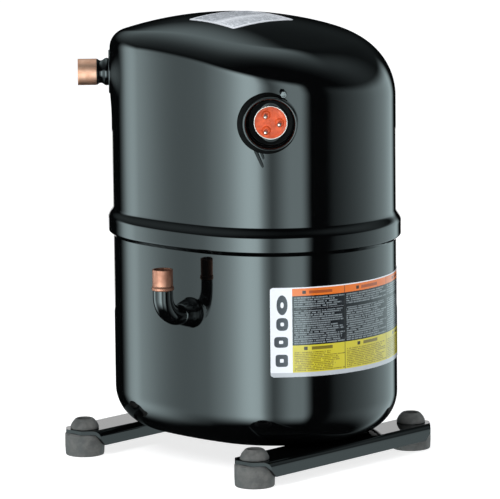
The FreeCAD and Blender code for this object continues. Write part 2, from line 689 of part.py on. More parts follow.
crank_x = dim("crank_x")
crank_y = dim("crank_y")
shell_y = dim("shell_y")
block_low = dim("block_low")
BORES = {"lower": dim("bore_low"), "upper": dim("bore_low") + dim("bore_pitch")}
deck_y = crank_y - dim("deck")
HEAD_BOLT_Z = (46.0, 98.5, 151.0)
POST_ANGLES = (45, 135, 225, 315)
SPRINGS = [
    (dim("shell_x") + side * dim("spring_x"), shell_y + along)
    for side in (1, -1) for along in (dim("spring_rear"), -dim("spring_front"))
]


def round_crank(radius, angle):
    x = crank_x + radius * math.cos(math.radians(angle))
    return x, crank_y + radius * math.sin(math.radians(angle))


barrel = cylinder("block_barrel", "barrel_radius", "block_high - block_low",
                  at(crank_x, crank_y, block_low))
cheeks = box("block_cheeks", "2 * block_half_width", "deck", "block_high - block_low",
             at(crank_x - dim("block_half_width"), deck_y, block_low))
flange = cylinder("block_flange", "flange_radius", "block_high - flange_low",
                  at(crank_x, crank_y, dim("flange_low")))
hub = cylinder("block_hub", "hub_radius", "hub_top - block_high", at(crank_x, crank_y, dim("block_high")))
ear = box("block_ears", "2 * ear_half_width", "spring_front + spring_rear + 22", "ear_high - ear_low",
          at(dim("shell_x") - dim("ear_half_width"), shell_y - dim("spring_front") - 11, dim("ear_low")))
posts = [
    cylinder("block_post_%d" % angle, "post_radius", "stator_low - block_high",
             at(*round_crank(dim("stud_circle"), angle), dim("block_high")))
    for angle in POST_ANGLES
]
cavity = cylinder("block_cavity", "cavity_radius", "cavity_top - block_low + 1",
                  at(crank_x, crank_y, block_low - 1))
bores = [
    cylinder("block_bore_%s" % name, "bore_radius", "deck + 1", at(crank_x, deck_y - 1, z, Vector(0, 1, 0)))
    for name, z in BORES.items()
]
shaft_hole = cylinder("block_shaft_hole", "main_radius + bush_wall", "hub_top",
                      at(crank_x, crank_y, dim("cavity_top") - 1))
bolt_places = [(crank_x + side * dim("head_bolt_x"), z) for side in (1, -1) for z in HEAD_BOLT_Z]
head_threads = [
    cylinder("block_thread_%d" % number, "head_bolt", "head_thread + 1",
             at(x, deck_y - 1, z, Vector(0, 1, 0)))
    for number, (x, z) in enumerate(bolt_places)
]
motor_threads = [
    cylinder("block_motor_thread_%d" % angle, "motor_bolt", "stator_low - block_high + 6",
             at(*round_crank(dim("stud_circle"), angle), dim("block_high") - 5))
    for angle in POST_ANGLES
]
block_form = fuse("block_form", [barrel, cheeks, flange, hub, ear] + posts)
block = cut("block", block_form, [cavity, shaft_hole] + bores + head_threads + motor_threads)
node(block, "cylinder_block")

node(turned("main_bearing_bush", [
    ("main_radius + running_gap", "cavity_top"), ("main_radius + bush_wall", "cavity_top"),
    ("main_radius + bush_wall", "hub_top"), ("main_radius + running_gap", "hub_top"),
], at(crank_x, crank_y)), "main_bearing_bush")

node(turned("end_bearing_plate", [
    ("tail_radius + bush_wall", "shaft_low + 2"), ("tail_radius + bush_wall + 5", "shaft_low + 2"),
    ("tail_radius + bush_wall + 5", "block_low + 2"), ("cavity_radius", "block_low + 2"),
    ("cavity_radius", "end_bush_top"), ("tail_radius + bush_wall", "end_bush_top"),
], at(crank_x, crank_y)), "end_bearing_plate")
node(turned("end_bearing_bush", [
    ("tail_radius + running_gap", "shaft_low + 2"), ("tail_radius + bush_wall", "shaft_low + 2"),
    ("tail_radius + bush_wall", "end_bush_top"), ("tail_radius + running_gap", "end_bush_top"),
], at(crank_x, crank_y)), "end_bearing_bush")

# ------------------------------------------------------------------ cylinder head stack


def stack_plate(name, thickness, front):
    """A plate of the head's outline; front is the distance of its inner face from the deck."""
    return box(name, "2 * block_half_width", thickness, "block_high - block_low",
               at(crank_x - dim("block_half_width"), deck_y - front - dim(thickness), block_low))


def stack_holes(name, front):
    return [
        cylinder("%s_bolt_hole_%d" % (name, number), "head_bolt_hole", "head + 20",
                 at(x, deck_y - front + 5, z, TO_HEAD))
        for number, (x, z) in enumerate(bolt_places)
    ]


gasket = dim("gasket")
plate_face = gasket
plate_back = gasket + dim("valve_plate")
head_face = plate_back + gasket
port_side = dim("port_side")
chamber_margin = dim("chamber_margin")
CHAMBER_X = {
    1: crank_x + dim("chamber_side"),
    -1: crank_x - dim("chamber_side") - dim("chamber_width"),
}

for name, front in (("deck_gasket", 0.0), ("head_gasket", plate_back)):
    blank = stack_plate(name + "_blank", "gasket", front)
    if name == "deck_gasket":
        windows = [
            cylinder("%s_window_%s" % (name, bore), "bore_radius + 0.6", "gasket + 6",
                     at(crank_x, deck_y + 3, z, TO_HEAD))
            for bore, z in BORES.items()
        ]
    else:
        windows = [
            box("%s_window_%d" % (name, side), "chamber_width", "gasket + 6",
                "block_high - block_low - 2 * chamber_margin",
                at(CHAMBER_X[side], deck_y - front - 3, block_low + chamber_margin))
            for side in (1, -1)
        ]
    node(cut(name + "_cut", blank, stack_holes(name, front) + windows), name)

ports = []
for bore, z in BORES.items():
    for side in (1, -1):
        ports.append(cylinder("port_%s_%d" % (bore, side), "port_radius", "valve_plate + 7",
                              at(crank_x + side * port_side, deck_y + 2, z, TO_HEAD)))
node(cut("valve_plate_cut", stack_plate("valve_plate_blank", "valve_plate", plate_face),
         stack_holes("valve_plate", plate_face) + ports), "valve_plate")

suction_reeds = []
discharge_reeds = []
valve_stops = []
reed_back = deck_y - plate_back - dim("reed")
half_reed = dim("reed_width") / 2
for bore, z in BORES.items():
    low = z - dim("reed_length") * 0.4
    suction_reeds.append(box("suction_reed_" + bore, "reed_width", "reed", "reed_length",
                             at(crank_x - port_side - half_reed, deck_y - gasket, low)))
    discharge_reeds.append(box("discharge_reed_" + bore, "reed_width", "reed", "reed_length",
                               at(crank_x + port_side - half_reed, reed_back, low)))
    valve_stops.append(box("valve_stop_" + bore, "reed_width", "stop_thickness", "reed_length",
                           at(crank_x + port_side - half_reed, reed_back - dim("stop_thickness"), low)))
node(group("suction_reeds", suction_reeds), "suction_reeds")
node(group("discharge_reeds", discharge_reeds), "discharge_reeds")
node(group("valve_stops", valve_stops), "valve_stops")

head_chambers = [
    box("head_chamber_%d" % side, "chamber_width", "head - head_floor + 1",
        "block_high - block_low - 2 * chamber_margin",
        at(CHAMBER_X[side], deck_y - head_face - dim("head") + dim("head_floor"),
           block_low + chamber_margin))
    for side in (1, -1)
]
head_outlet = cylinder("head_outlet", "loop_radius", "0 + 20",
                       at(crank_x + 14, deck_y - dim("muffler_ahead"), 145))
node(cut("cylinder_head_cut", stack_plate("head_blank", "head", head_face),
         stack_holes("head", head_face) + head_chambers + [head_outlet]), "cylinder_head")

head_back = head_face + dim("head")
head_bolts = []
for number, (x, z) in enumerate(bolt_places):
    shank = cylinder("head_bolt_shank_%d" % number, "head_bolt", "head + valve_plate + head_thread",
                     at(x, deck_y - head_back, z, Vector(0, 1, 0)))
    cap = primitive("Prism", "head_bolt_cap_%d" % number, at(x, deck_y - head_back, z, TO_HEAD),
                    Circumradius="head_bolt + 2.6", Height="head_bolt")
    cap.Polygon = 6
    head_bolts.append(fuse("head_bolt_%d" % number, [shank, cap]))
node(group("head_bolts", head_bolts), "head_bolts")

muffler_y = deck_y - dim("muffler_ahead")
muffler = turned("muffler_can", [
    ("0 + 0", "muffler_low"), ("muffler_radius - 4", "muffler_low"),
    ("muffler_radius", "muffler_low + 4"), ("muffler_radius", "muffler_high - 4"),
    ("muffler_radius - 4", "muffler_high"), ("0 + 0", "muffler_high"),
], at(crank_x, muffler_y))
muffler_neck = cylinder("muffler_neck", "loop_radius - 0.6", "muffler_low - block_high + 3",
                        at(crank_x + 8, muffler_y, dim("block_high")))
node(fuse("muffler_body", [muffler, muffler_neck]), "discharge_muffler")

# ------------------------------------------------------------------ suspension springs

lower_seats = []
upper_seats = []
coils = []
for number, (x, y) in enumerate(SPRINGS):
    lower_seats.append(turned("lower_seat_%d" % number, [
        ("0 + 0", "shell_floor + wall"), ("seat_nub + 0.5", "shell_floor + wall"),
        ("seat_nub + 0.5", "seat_low"), ("seat_radius", "seat_low"), ("seat_radius", "seat_high"),
        ("seat_nub", "seat_high"), ("seat_nub - 1", "seat_high + 8"), ("0 + 0", "seat_high + 8"),
    ], at(x, y)))
    upper_seats.append(turned("upper_seat_%d" % number, [
        ("0 + 0", "ear_low - 3 - 8"), ("seat_nub - 1", "ear_low - 3 - 8"), ("seat_nub", "ear_low - 3"),
        ("seat_radius", "ear_low - 3"), ("seat_radius", "ear_low"), ("0 + 0", "ear_low"),
    ], at(x, y)))
    wire_radius = dim("spring_wire")
    coil_low = dim("seat_high") + wire_radius + 0.02
    coil_high = dim("ear_low") - 3 - wire_radius - 0.02
    turns = dim("spring_turns")
    helix = Part.makeHelix((coil_high - coil_low) / turns, coil_high - coil_low, dim("spring_coil"))
    section = Part.Wire([Part.Circle(Vector(dim("spring_coil"), 0, 0), Vector(0, 1, 0),
                                     wire_radius).toShape()])
    coil = Part.Wire(helix.Edges).makePipeShell([section], True, True)
    feature = fixed_shape("spring_%d" % number, coil)
    feature.Placement = at(x, y, coil_low)
    coils.append(feature)
node(group("lower_spring_seats", lower_seats), "lower_spring_seats")
node(group("upper_spring_seats", upper_seats), "upper_spring_seats")
node(group("suspension_springs", coils), "suspension_springs")

# ------------------------------------------------------------------ crankshaft

ECCENTRIC_SIDE = {"lower": -1, "upper": 1}
shaft_parts = [
    cylinder("shaft_main", "main_radius", "shaft_top - cavity_top + 4",
             at(crank_x, crank_y, dim("cavity_top") - 4)),
    cylinder("shaft_middle", "middle_radius", "cavity_top - end_bush_top",
             at(crank_x, crank_y, dim("end_bush_top"))),
    cylinder("shaft_tail", "tail_radius", "end_bush_top - shaft_low + 1",
             at(crank_x, crank_y, dim("shaft_low"))),
]
for name, z in BORES.items():
    shaft_parts.append(cylinder("eccentric_" + name, "eccentric_radius", "eccentric_height", at(
        crank_x, crank_y + ECCENTRIC_SIDE[name] * dim("throw"), z - dim("eccentric_height") / 2)))
oilway = cylinder("shaft_oilway", "oilway_radius", "shaft_top - shaft_low + 2",
                  at(crank_x, crank_y, dim("shaft_low") - 1))
node(cut("crankshaft", fuse("shaft_form", shaft_parts), [oilway]), "crankshaft")
node(turned("oil_pickup", [
    ("oilway_radius - 1", "pickup_low"), ("tail_radius - 5", "pickup_low"),
    ("tail_radius - 2", "shaft_low - 1.5"), ("tail_radius - 2", "shaft_low"),
    ("oilway_radius", "shaft_low"),
], at(crank_x, crank_y)), "oil_pickup")

# ------------------------------------------------------------------ rods and pistons

pin_y = {
    name: crank_y + ECCENTRIC_SIDE[name] * dim("throw") - dim("rod_length") for name in BORES
}
for name, z in BORES.items():
    low = z - dim("rod_thickness") / 2
    big_y = crank_y + ECCENTRIC_SIDE[name] * dim("throw")
    small_y = pin_y[name]
    big_end = cylinder("big_end_" + name, "big_end_radius", "rod_thickness", at(crank_x, big_y, low))
    small_end = cylinder("small_end_" + name, "small_end_radius", "rod_thickness",
                         at(crank_x, small_y, low))
    shank = box("rod_shank_" + name, "shank_width", "rod_length", "rod_thickness",
                at(crank_x - dim("shank_width") / 2, small_y, low))
    strap_bore = cylinder("rod_big_bore_" + name, "eccentric_radius + running_gap", "rod_thickness + 2",
                          at(crank_x, big_y, low - 1))
    pin_hole = cylinder("rod_pin_bore_" + name, "pin_bore", "rod_thickness + 2",
                        at(crank_x, small_y, low - 1))
    node(cut("rod_" + name, fuse("rod_form_" + name, [big_end, small_end, shank]),
             [strap_bore, pin_hole]), "connecting_rod_" + name)
    node(cylinder("wrist_pin_" + name, "pin_bore", "wrist_pin_length",
                  at(crank_x, small_y, z - dim("wrist_pin_length") / 2)), "wrist_pin_" + name)

    first = "crown_to_pin - ring_first"
    second = "crown_to_pin - ring_first - ring_pitch"
    groove = "piston_radius - ring_depth"
    piston_place = at(crank_x, small_y, z, TO_HEAD)
    node(turned("piston_" + name, [
        ("0 + 0", "crown_to_pin"), ("piston_radius - 0.5", "crown_to_pin"),
        ("piston_radius", "crown_to_pin - 0.5"),
        ("piston_radius", first), (groove, first), (groove, first + " - ring_groove"),
        ("piston_radius", first + " - ring_groove"),
        ("piston_radius", second), (groove, second), (groove, second + " - ring_groove"),
        ("piston_radius", second + " - ring_groove"),
        ("piston_radius", "0 - skirt_below_pin"), ("pocket_radius", "0 - skirt_below_pin"),
        ("pocket_radius", "crown_to_pin - crown_thickness"),
        ("0 + 0", "crown_to_pin - crown_thickness"),
    ], piston_place), "piston_" + name)
    rings = []
    for number, top in enumerate((first, second)):
        rings.append(turned("ring_%s_%d" % (name, number), [
            (groove + " + 0.1", top + " - 0.05"), ("piston_radius + 0.03", top + " - 0.05"),
            ("piston_radius + 0.03", top + " - ring_groove + 0.05"),
            (groove + " + 0.1", top + " - ring_groove + 0.05"),
        ], piston_place))
    node(group("piston_rings_" + name, rings), "piston_rings_" + name)

# ------------------------------------------------------------------ motor

slot_count = int(dim("slots"))


def slot_shapes(clearance, low, high):
    """The slots' solids round the crank axis, each a box with room for a coil side."""
    length = dim("slot_outer") - dim("slot_inner") - 2 * clearance
    width = dim("slot_width") - 2 * clearance
    shapes = []
    for index in range(slot_count):
        slot = Part.makeBox(length, width, high - low,
                            Vector(dim("slot_inner") + clearance, -width / 2, low))
        slot.rotate(Vector(), UP, 360 * index / slot_count)
        slot.translate(Vector(crank_x, crank_y, 0))
        shapes.append(slot)
    return shapes


stator_blank = turned("stator_blank", [
    ("stator_bore", "stator_low"), ("stator_radius", "stator_low"),
    ("stator_radius", "stator_high"), ("stator_bore", "stator_high"),
], at(crank_x, crank_y))
stator_slots = fixed_shape("stator_slots", Part.makeCompound(
    slot_shapes(0.0, dim("stator_low") - 1, dim("stator_high") + 1)))
stator_bolt_holes = [
    cylinder("stator_bolt_hole_%d" % angle, "motor_bolt_hole", "stator_high - stator_low + 2",
             at(*round_crank(dim("stud_circle"), angle), dim("stator_low") - 1))
    for angle in POST_ANGLES
]
node(cut("stator", stator_blank, [stator_slots] + stator_bolt_holes), "stator_core")

end_turns = []
for name, low, height in (("lower", "winding_low", "stator_low - winding_low - 2"),
                          ("upper", "stator_high + 2", "winding_high - stator_high - 2")):
    ring_low = dim("winding_low") if name == "lower" else dim("stator_high") + 2
    outside = cylinder("winding_outside_" + name, "winding_outer", height,
                       at(crank_x, crank_y, ring_low))
    inside = cylinder("winding_inside_" + name, "winding_inner", height,
                      at(crank_x, crank_y, ring_low))
    end_turns.append(cut("winding_" + name, outside, [inside]))
coil_sides = fixed_shape("coil_sides", Part.makeCompound(
    slot_shapes(0.3, dim("stator_low") - 4, dim("stator_high") + 4)))
node(fuse("windings", end_turns + [coil_sides]), "stator_windings")

motor_bolts = []
for angle in POST_ANGLES:
    x, y = round_crank(dim("stud_circle"), angle)
    shank = cylinder("motor_bolt_shank_%d" % angle, "motor_bolt", "stator_high - block_high + 4",
                     at(x, y, dim("block_high") - 4))
    cap = primitive("Prism", "motor_bolt_cap_%d" % angle, at(x, y, dim("stator_high")),
                    Circumradius="motor_bolt + 2.4", Height="motor_bolt")
    cap.Polygon = 6
    motor_bolts.append(fuse("motor_bolt_%d" % angle, [shank, cap]))
node(group("motor_bolts", motor_bolts), "motor_bolts")

node(turned("rotor_core", [
    ("main_radius", "rotor_low"), ("rotor_radius", "rotor_low"),
    ("rotor_radius", "rotor_high"), ("main_radius", "rotor_high"),
], at(crank_x, crank_y)), "rotor_core")
rings = []
for name, low in (("lower", "rotor_low - cage_height"), ("upper", "rotor_high")):
    rings.append(turned("cage_ring_" + name, [
        ("cage_inner", low), ("cage_outer", low),
        ("cage_outer", low + " + cage_height"), ("cage_inner", low + " + cage_height"),
    ], at(crank_x, crank_y)))
node(group("rotor_end_rings", rings), "rotor_end_rings")

weight_low = dim("rotor_high") + dim("cage_height")
weight_disc = cylinder("weight_disc", "cage_outer", "weight_height", at(crank_x, crank_y, weight_low))
weight_eye = cylinder("weight_eye", "cage_inner", "weight_height + 2",
                      at(crank_x, crank_y, weight_low - 1))
weight_half = box("weight_half", "2 * cage_outer + 2", "cage_outer + 6", "weight_height + 2",
                  at(crank_x - dim("cage_outer") - 1, crank_y - 5, weight_low - 1))
node(cut("counterweight", weight_disc, [weight_eye, weight_half]), "rotor_counterweight")

protector_x, protector_y = round_crank(56, 330)
node(cylinder("motor_protector", "protector_radius", "protector_height",
              at(protector_x, protector_y, dim("winding_high"))), "motor_protector")

# ------------------------------------------------------------------ leads and shock loop

plug_depth = dim("plug_depth")
plug = cylinder("lead_plug_blank", "cup_radius - 3", "plug_height",
                terminal_place(out=-plug_depth))
plug_holes = [
    cylinder("lead_plug_hole_%d" % number, "pin_root", "pin_depth * 2", place)
    for number, place in enumerate(around_terminal(dim("pin_circle"), -dim("pin_depth")))
]
node(cut("lead_plug", plug, plug_holes), "lead_plug")

lead_top = dim("lead_top")
leads = []
for number, (start, spread) in enumerate(zip(around_terminal(dim("pin_circle"), -plug_depth), (4, 0, -4))):
    inward = terminal_axis * -1
    aside = terminal_right * (spread * 1.5)
    first = start.Base
    second = first + inward * (9 + 3 * number)
    rise = terminal_wall + inward * (50 + 3 * number) + aside
    top_in = Vector(rise.x, rise.y, lead_top)
    land = terminal_wall + inward * (84 + 3 * number) + aside
    top_out = Vector(land.x, land.y, lead_top)
    landing = Vector(land.x, land.y, dim("winding_high"))
    route = [first, second, top_in, top_out, landing]
    leads.append(fixed_shape("lead_%d" % number,
                             rod_along(route, dim("lead_bend"), dim("lead_radius"))))
node(group("motor_leads", leads), "motor_leads")

loop_side = Vector(dim("discharge_inside"), discharge_y, discharge_height)
muffler_side = Vector(crank_x - dim("muffler_radius"), muffler_y, 188.0)
shock_loop = rod_along([
    loop_side, Vector(-60.0, discharge_y, discharge_height), Vector(-60.0, discharge_y - 4, 100.0),
    Vector(-58.0, -72.0, 100.0), Vector(-46.0, muffler_y, 130.0),
    Vector(-46.0, muffler_y, muffler_side.z), muffler_side,
], 9.0, dim("loop_radius"))
node(fixed_shape("ShockLoop", shock_loop), "shock_loop_tube")

# ------------------------------------------------------------------ checks and export

doc.recompute()
for obj in doc.Objects:
    if "Invalid" in obj.State or "Error" in obj.State:
        raise RuntimeError("%s: %s" % (obj.Label, obj.State))
os.makedirs("parts", exist_ok=True)
for obj in nodes:
    shape = obj.Shape
    if shape.isNull() or not shape.isValid() or not shape.Solids:
        raise RuntimeError("%s has no sound shape" % obj.Label)
    shape.exportStep(os.path.join("parts", obj.Label + ".step"))
print("%d sub-parts" % len(nodes))
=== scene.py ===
import json
import math

import bmesh
import bpy
from mathutils import Matrix, Vector, noise


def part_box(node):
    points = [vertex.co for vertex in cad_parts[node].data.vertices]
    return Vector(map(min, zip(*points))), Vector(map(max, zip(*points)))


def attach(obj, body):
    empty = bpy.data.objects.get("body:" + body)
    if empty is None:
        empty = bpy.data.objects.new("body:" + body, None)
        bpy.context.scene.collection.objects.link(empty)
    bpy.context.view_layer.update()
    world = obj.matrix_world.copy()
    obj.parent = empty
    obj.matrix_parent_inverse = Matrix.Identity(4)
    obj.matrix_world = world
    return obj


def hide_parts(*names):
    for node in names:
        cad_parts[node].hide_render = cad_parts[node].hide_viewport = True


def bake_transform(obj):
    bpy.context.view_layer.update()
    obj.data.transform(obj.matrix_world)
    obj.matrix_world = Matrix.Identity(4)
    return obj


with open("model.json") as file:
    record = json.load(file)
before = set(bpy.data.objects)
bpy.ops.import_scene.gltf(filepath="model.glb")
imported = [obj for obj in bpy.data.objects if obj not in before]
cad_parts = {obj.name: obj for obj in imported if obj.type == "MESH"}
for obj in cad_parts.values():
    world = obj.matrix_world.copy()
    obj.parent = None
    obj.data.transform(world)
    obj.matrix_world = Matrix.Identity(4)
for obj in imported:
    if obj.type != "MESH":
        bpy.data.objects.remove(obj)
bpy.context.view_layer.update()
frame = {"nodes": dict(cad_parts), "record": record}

MM = 0.001
UP = Vector((0, 0, 1))
NODES = frame["nodes"]
MOUNTS = {mount["name"]: mount for mount in frame["record"]["mounts"]}


def mount_frame(name):
    """A mount's point and axis."""
    return Vector(MOUNTS[name]["pos_m"]), Vector(MOUNTS[name]["axis"]).normalized()


# ------------------------------------------------------------------ node graphs

class Graph:
    """Short calls for building a shader out of nodes."""

    def __init__(self, tree):
        self.tree = tree
        tree.nodes.clear()

    def node(self, kind, inputs=(), **settings):
        made = self.tree.nodes.new(kind)
        for key, value in settings.items():
            setattr(made, key, value)
        for key, value in dict(inputs).items():
            self.plug(made.inputs[key], value)
        return made

    def plug(self, socket, value):
        if isinstance(value, bpy.types.NodeSocket):
            self.tree.links.new(value, socket)
        else:
            socket.default_value = value

    def math(self, operation, first, second=0.0, third=0.0, clamp=False):
        made = self.node("ShaderNodeMath", operation=operation, use_clamp=clamp)
        for socket, value in zip(made.inputs, (first, second, third)):
            self.plug(socket, value)
        return made.outputs[0]

    def chained(self, operation, values):
        total = values[0]
        for value in values[1:]:
            total = self.math(operation, total, value)
        return total

    def add(self, *values):
        return self.chained("ADD", values)

    def times(self, *values):
        return self.chained("MULTIPLY", values)

    def ramp(self, value, low, high, start=0.0, end=1.0, kind="LINEAR"):
        """start below low, end above high, and a ramp between."""
        made = self.node("ShaderNodeMapRange", interpolation_type=kind, inputs={
            "Value": value, "From Min": low, "From Max": high, "To Min": start, "To Max": end})
        return made.outputs[0]

    def smooth(self, *values):
        """A ramp that eases in and out."""
        return self.ramp(*values, kind="SMOOTHSTEP")

    def bell(self, value, centre, width, height):
        """A Gaussian hump."""
        offset = self.math("DIVIDE", self.math("SUBTRACT", value, centre), width)
        return self.times(self.math("EXPONENT", self.times(offset, offset, -0.5)), height)

    def between(self, value, low, high):
        return self.times(self.math("GREATER_THAN", value, low), self.math("LESS_THAN", value, high))

    def mix(self, factor, first, second):
        made = self.node("ShaderNodeMix", data_type="RGBA")
        self.plug(made.inputs[0], factor)
        self.plug(made.inputs[6], rgba(first))
        self.plug(made.inputs[7], rgba(second))
        return made.outputs[2]

    def place(self, kind="Object"):
        return self.node("ShaderNodeTexCoord").outputs[kind]

    def scaled(self, vector, scale):
        return self.node("ShaderNodeMapping", inputs={"Vector": vector, "Scale": scale}).outputs[0]

    def noise(self, vector, scale, detail=2.0, roughness=0.5):
        made = self.node("ShaderNodeTexNoise", inputs={
            "Vector": vector, "Scale": scale, "Detail": detail, "Roughness": roughness})
        return made.outputs[0]

    def bump(self, height, distance, strength=1.0, normal=None):
        made = self.node("ShaderNodeBump", inputs={
            "Height": height, "Distance": distance, "Strength": strength})
        if normal is not None:
            self.plug(made.inputs["Normal"], normal)
        return made.outputs[0]


def rgba(value):
    if isinstance(value, bpy.types.NodeSocket) or len(value) == 4:
        return value
    return (*value, 1.0)


def material(name, **shader):
    """A Principled material; values may be numbers or sockets made by build(graph)."""
    made = bpy.data.materials.new(name)
    made.use_nodes = True
    graph = Graph(made.node_tree)
    build = shader.pop("build", None)
    if build:
        shader.update(build(graph))
    body = graph.node("ShaderNodeBsdfPrincipled")
    for key, value in shader.items():
        socket = body.inputs[key.replace("_", " ")]
        graph.plug(socket, rgba(value) if socket.type == "RGBA" else value)
    out = graph.node("ShaderNodeOutputMaterial")
    graph.plug(out.inputs["Surface"], body.outputs[0])
    return made


# ------------------------------------------------------------------ materials

def enamel(graph):
    """Baked gloss enamel: the steel under it is a little wavy, the film has fine peel."""
    where = graph.place()
    tone = graph.noise(where, 35.0, 4.0)
    wave = graph.noise(where, 22.0, 1.0)
    peel = graph.noise(where, 900.0, 2.0)
    waved = graph.bump(wave, 0.00006)
    return {
        "Base_Color": graph.mix(tone, (0.0007, 0.0008, 0.0009), (0.0016, 0.0018, 0.0020)),
        "Roughness": graph.smooth(tone, 0.3, 0.8, 0.035, 0.075),
        "Normal": graph.bump(peel, 0.000004, 1.0, waved),
    }


def moulded_rubber(graph):
    """Grey rubber with a cloudy bloom."""
    where = graph.place()
    cloud = graph.noise(where, 120.0, 5.0, 0.6)
    grain = graph.noise(where, 1600.0, 3.0)
    return {
        "Base_Color": graph.mix(graph.smooth(cloud, 0.3, 0.75), (0.060, 0.061, 0.060), (0.125, 0.125, 0.120)),
        "Roughness": graph.smooth(cloud, 0.2, 0.8, 0.62, 0.82),
        "Normal": graph.bump(graph.add(graph.times(cloud, 0.6), graph.times(grain, 0.4)), 0.00025, 0.55),
    }


def drawn_copper(clean, stained):
    """Tube that has been handled: faint lines round it and darker patches."""
    def build(graph):
        where = graph.place()
        patch = graph.noise(where, 160.0, 4.0)
        lines = graph.noise(graph.scaled(where, (40.0, 40.0, 2400.0)), 1.0, 3.0)
        return {
            "Base_Color": graph.mix(graph.smooth(patch, 0.3, 0.75), clean, stained),
            "Roughness": graph.smooth(patch, 0.3, 0.8, 0.50, 0.62),
            "Normal": graph.bump(lines, 0.00002, 0.5),
        }
    return build


def worked_metal(first, second, rough_low, rough_high, scale=220.0):
    """A bare metal with mottled tone and fine scratches."""
    def build(graph):
        where = graph.place()
        tone = graph.noise(where, scale, 4.0, 0.6)
        scratch = graph.noise(graph.scaled(where, (300.0, 300.0, 3000.0)), 1.0, 2.0)
        return {
            "Base_Color": graph.mix(graph.smooth(tone, 0.3, 0.7), first, second),
            "Roughness": graph.smooth(tone, 0.3, 0.7, rough_low, rough_high),
            "Normal": graph.bump(scratch, 0.00001, 0.4),
        }
    return build


def mottled(tone, first, second, rough, grain, bump):
    """A skin of mottled tone with a fine grain; tone and grain are settings of the noise."""
    def build(graph):
        where = graph.place()
        cloud = graph.noise(where, *tone)
        return {
            "Base_Color": graph.mix(cloud, first, second),
            "Roughness": graph.smooth(cloud, *rough),
            "Normal": graph.bump(graph.noise(where, *grain), *bump),
        }
    return build


def stacked_sheets(graph):
    """Edges of thin steel sheets, one above another."""
    where = graph.place()
    up = graph.node("ShaderNodeSeparateXYZ", inputs={"Vector": where}).outputs[2]
    sheet = graph.math("FRACT", graph.times(up, 2000.0))
    tone = graph.noise(where, 60.0, 3.0)
    return {
        "Base_Color": graph.mix(tone, (0.10, 0.11, 0.14), (0.22, 0.22, 0.24)),
        "Roughness": graph.smooth(tone, 0.3, 0.7, 0.32, 0.5),
        "Normal": graph.bump(graph.smooth(sheet, 0.0, 0.25), 0.0001, 0.8),
    }


def wound_wire(graph):
    """Turns of varnished wire running round the coils."""
    where = graph.place()
    parts = graph.node("ShaderNodeSeparateXYZ", inputs={"Vector": where}).outputs
    strand = graph.math("SINE", graph.times(graph.add(parts[2], graph.times(parts[0], 0.3)), 5200.0))
    tone = graph.noise(where, 140.0, 3.0)
    return {
        "Base_Color": graph.mix(tone, (0.34, 0.09, 0.03), (0.62, 0.22, 0.09)),
        "Roughness": graph.smooth(tone, 0.3, 0.7, 0.22, 0.38),
        "Normal": graph.bump(strand, 0.0003, 0.6),
    }


def orange_seal(graph):
    """Cast seal: streaks and a slightly uneven skin."""
    where = graph.place()
    tone = graph.noise(where, 300.0, 4.0, 0.6)
    lumps = graph.noise(where, 420.0, 2.0)
    return {
        "Base_Color": graph.mix(graph.smooth(tone, 0.25, 0.8), (0.78, 0.115, 0.026), (0.52, 0.060, 0.016)),
        "Roughness": graph.smooth(tone, 0.3, 0.7, 0.38, 0.52),
        "Normal": graph.bump(lumps, 0.0004, 0.5),
    }


def floor_skin(graph):
    where = graph.place()
    tone = graph.noise(where, 3.0, 2.0)
    return {"Base_Color": graph.mix(tone, (0.50, 0.50, 0.50), (0.53, 0.53, 0.53))}


MATERIALS = {
    "shell_paint": material("gloss_enamel", build=enamel, IOR=1.5),
    "foot_rubber": material("grey_rubber", build=moulded_rubber, IOR=1.45),
    "copper_tube": material("copper", Metallic=1.0,
                            build=drawn_copper((0.46, 0.205, 0.14), (0.33, 0.135, 0.09))),
    "zinc_steel": material("zinc_steel", Metallic=1.0,
                           build=worked_metal((0.62, 0.62, 0.62), (0.40, 0.40, 0.41), 0.26, 0.40)),
    "terminal_seal": material("orange_seal", build=orange_seal, IOR=1.5),
    "cast_iron": material("cast_iron", Metallic=0.7, build=mottled(
        (90.0, 5.0, 0.6), (0.10, 0.10, 0.105), (0.24, 0.24, 0.245), (0.3, 0.7, 0.45, 0.65),
        (700.0, 4.0, 0.7), (0.0002, 0.6))),
    "spring_steel": material("oiled_steel", Metallic=1.0,
                             build=worked_metal((0.42, 0.42, 0.43), (0.26, 0.26, 0.27), 0.22, 0.38)),
    "core_steel": material("core_sheets", build=stacked_sheets, Metallic=0.9),
    "winding_wire": material("varnished_wire", build=wound_wire, Metallic=0.6),
    "die_cast": material("die_cast", Metallic=1.0,
                         build=worked_metal((0.72, 0.73, 0.74), (0.52, 0.53, 0.54), 0.35, 0.5, 500.0)),
    "bronze": material("bronze", Metallic=1.0,
                       build=worked_metal((0.62, 0.42, 0.18), (0.42, 0.27, 0.11), 0.3, 0.45)),
    "wiring_plastic": material("dark_plastic", IOR=1.5, build=mottled(
        (260.0, 4.0), (0.010, 0.010, 0.012), (0.024, 0.024, 0.027), (0.3, 0.7, 0.4, 0.55),
        (1500.0,), (0.00005, 0.5))),
    "gasket_fibre": material("gasket_fibre", build=mottled(
        (800.0, 5.0, 0.7), (0.05, 0.048, 0.04), (0.16, 0.15, 0.13), (0.2, 0.8, 0.75, 0.9),
        (800.0, 5.0, 0.7), (0.0001, 0.5))),
}


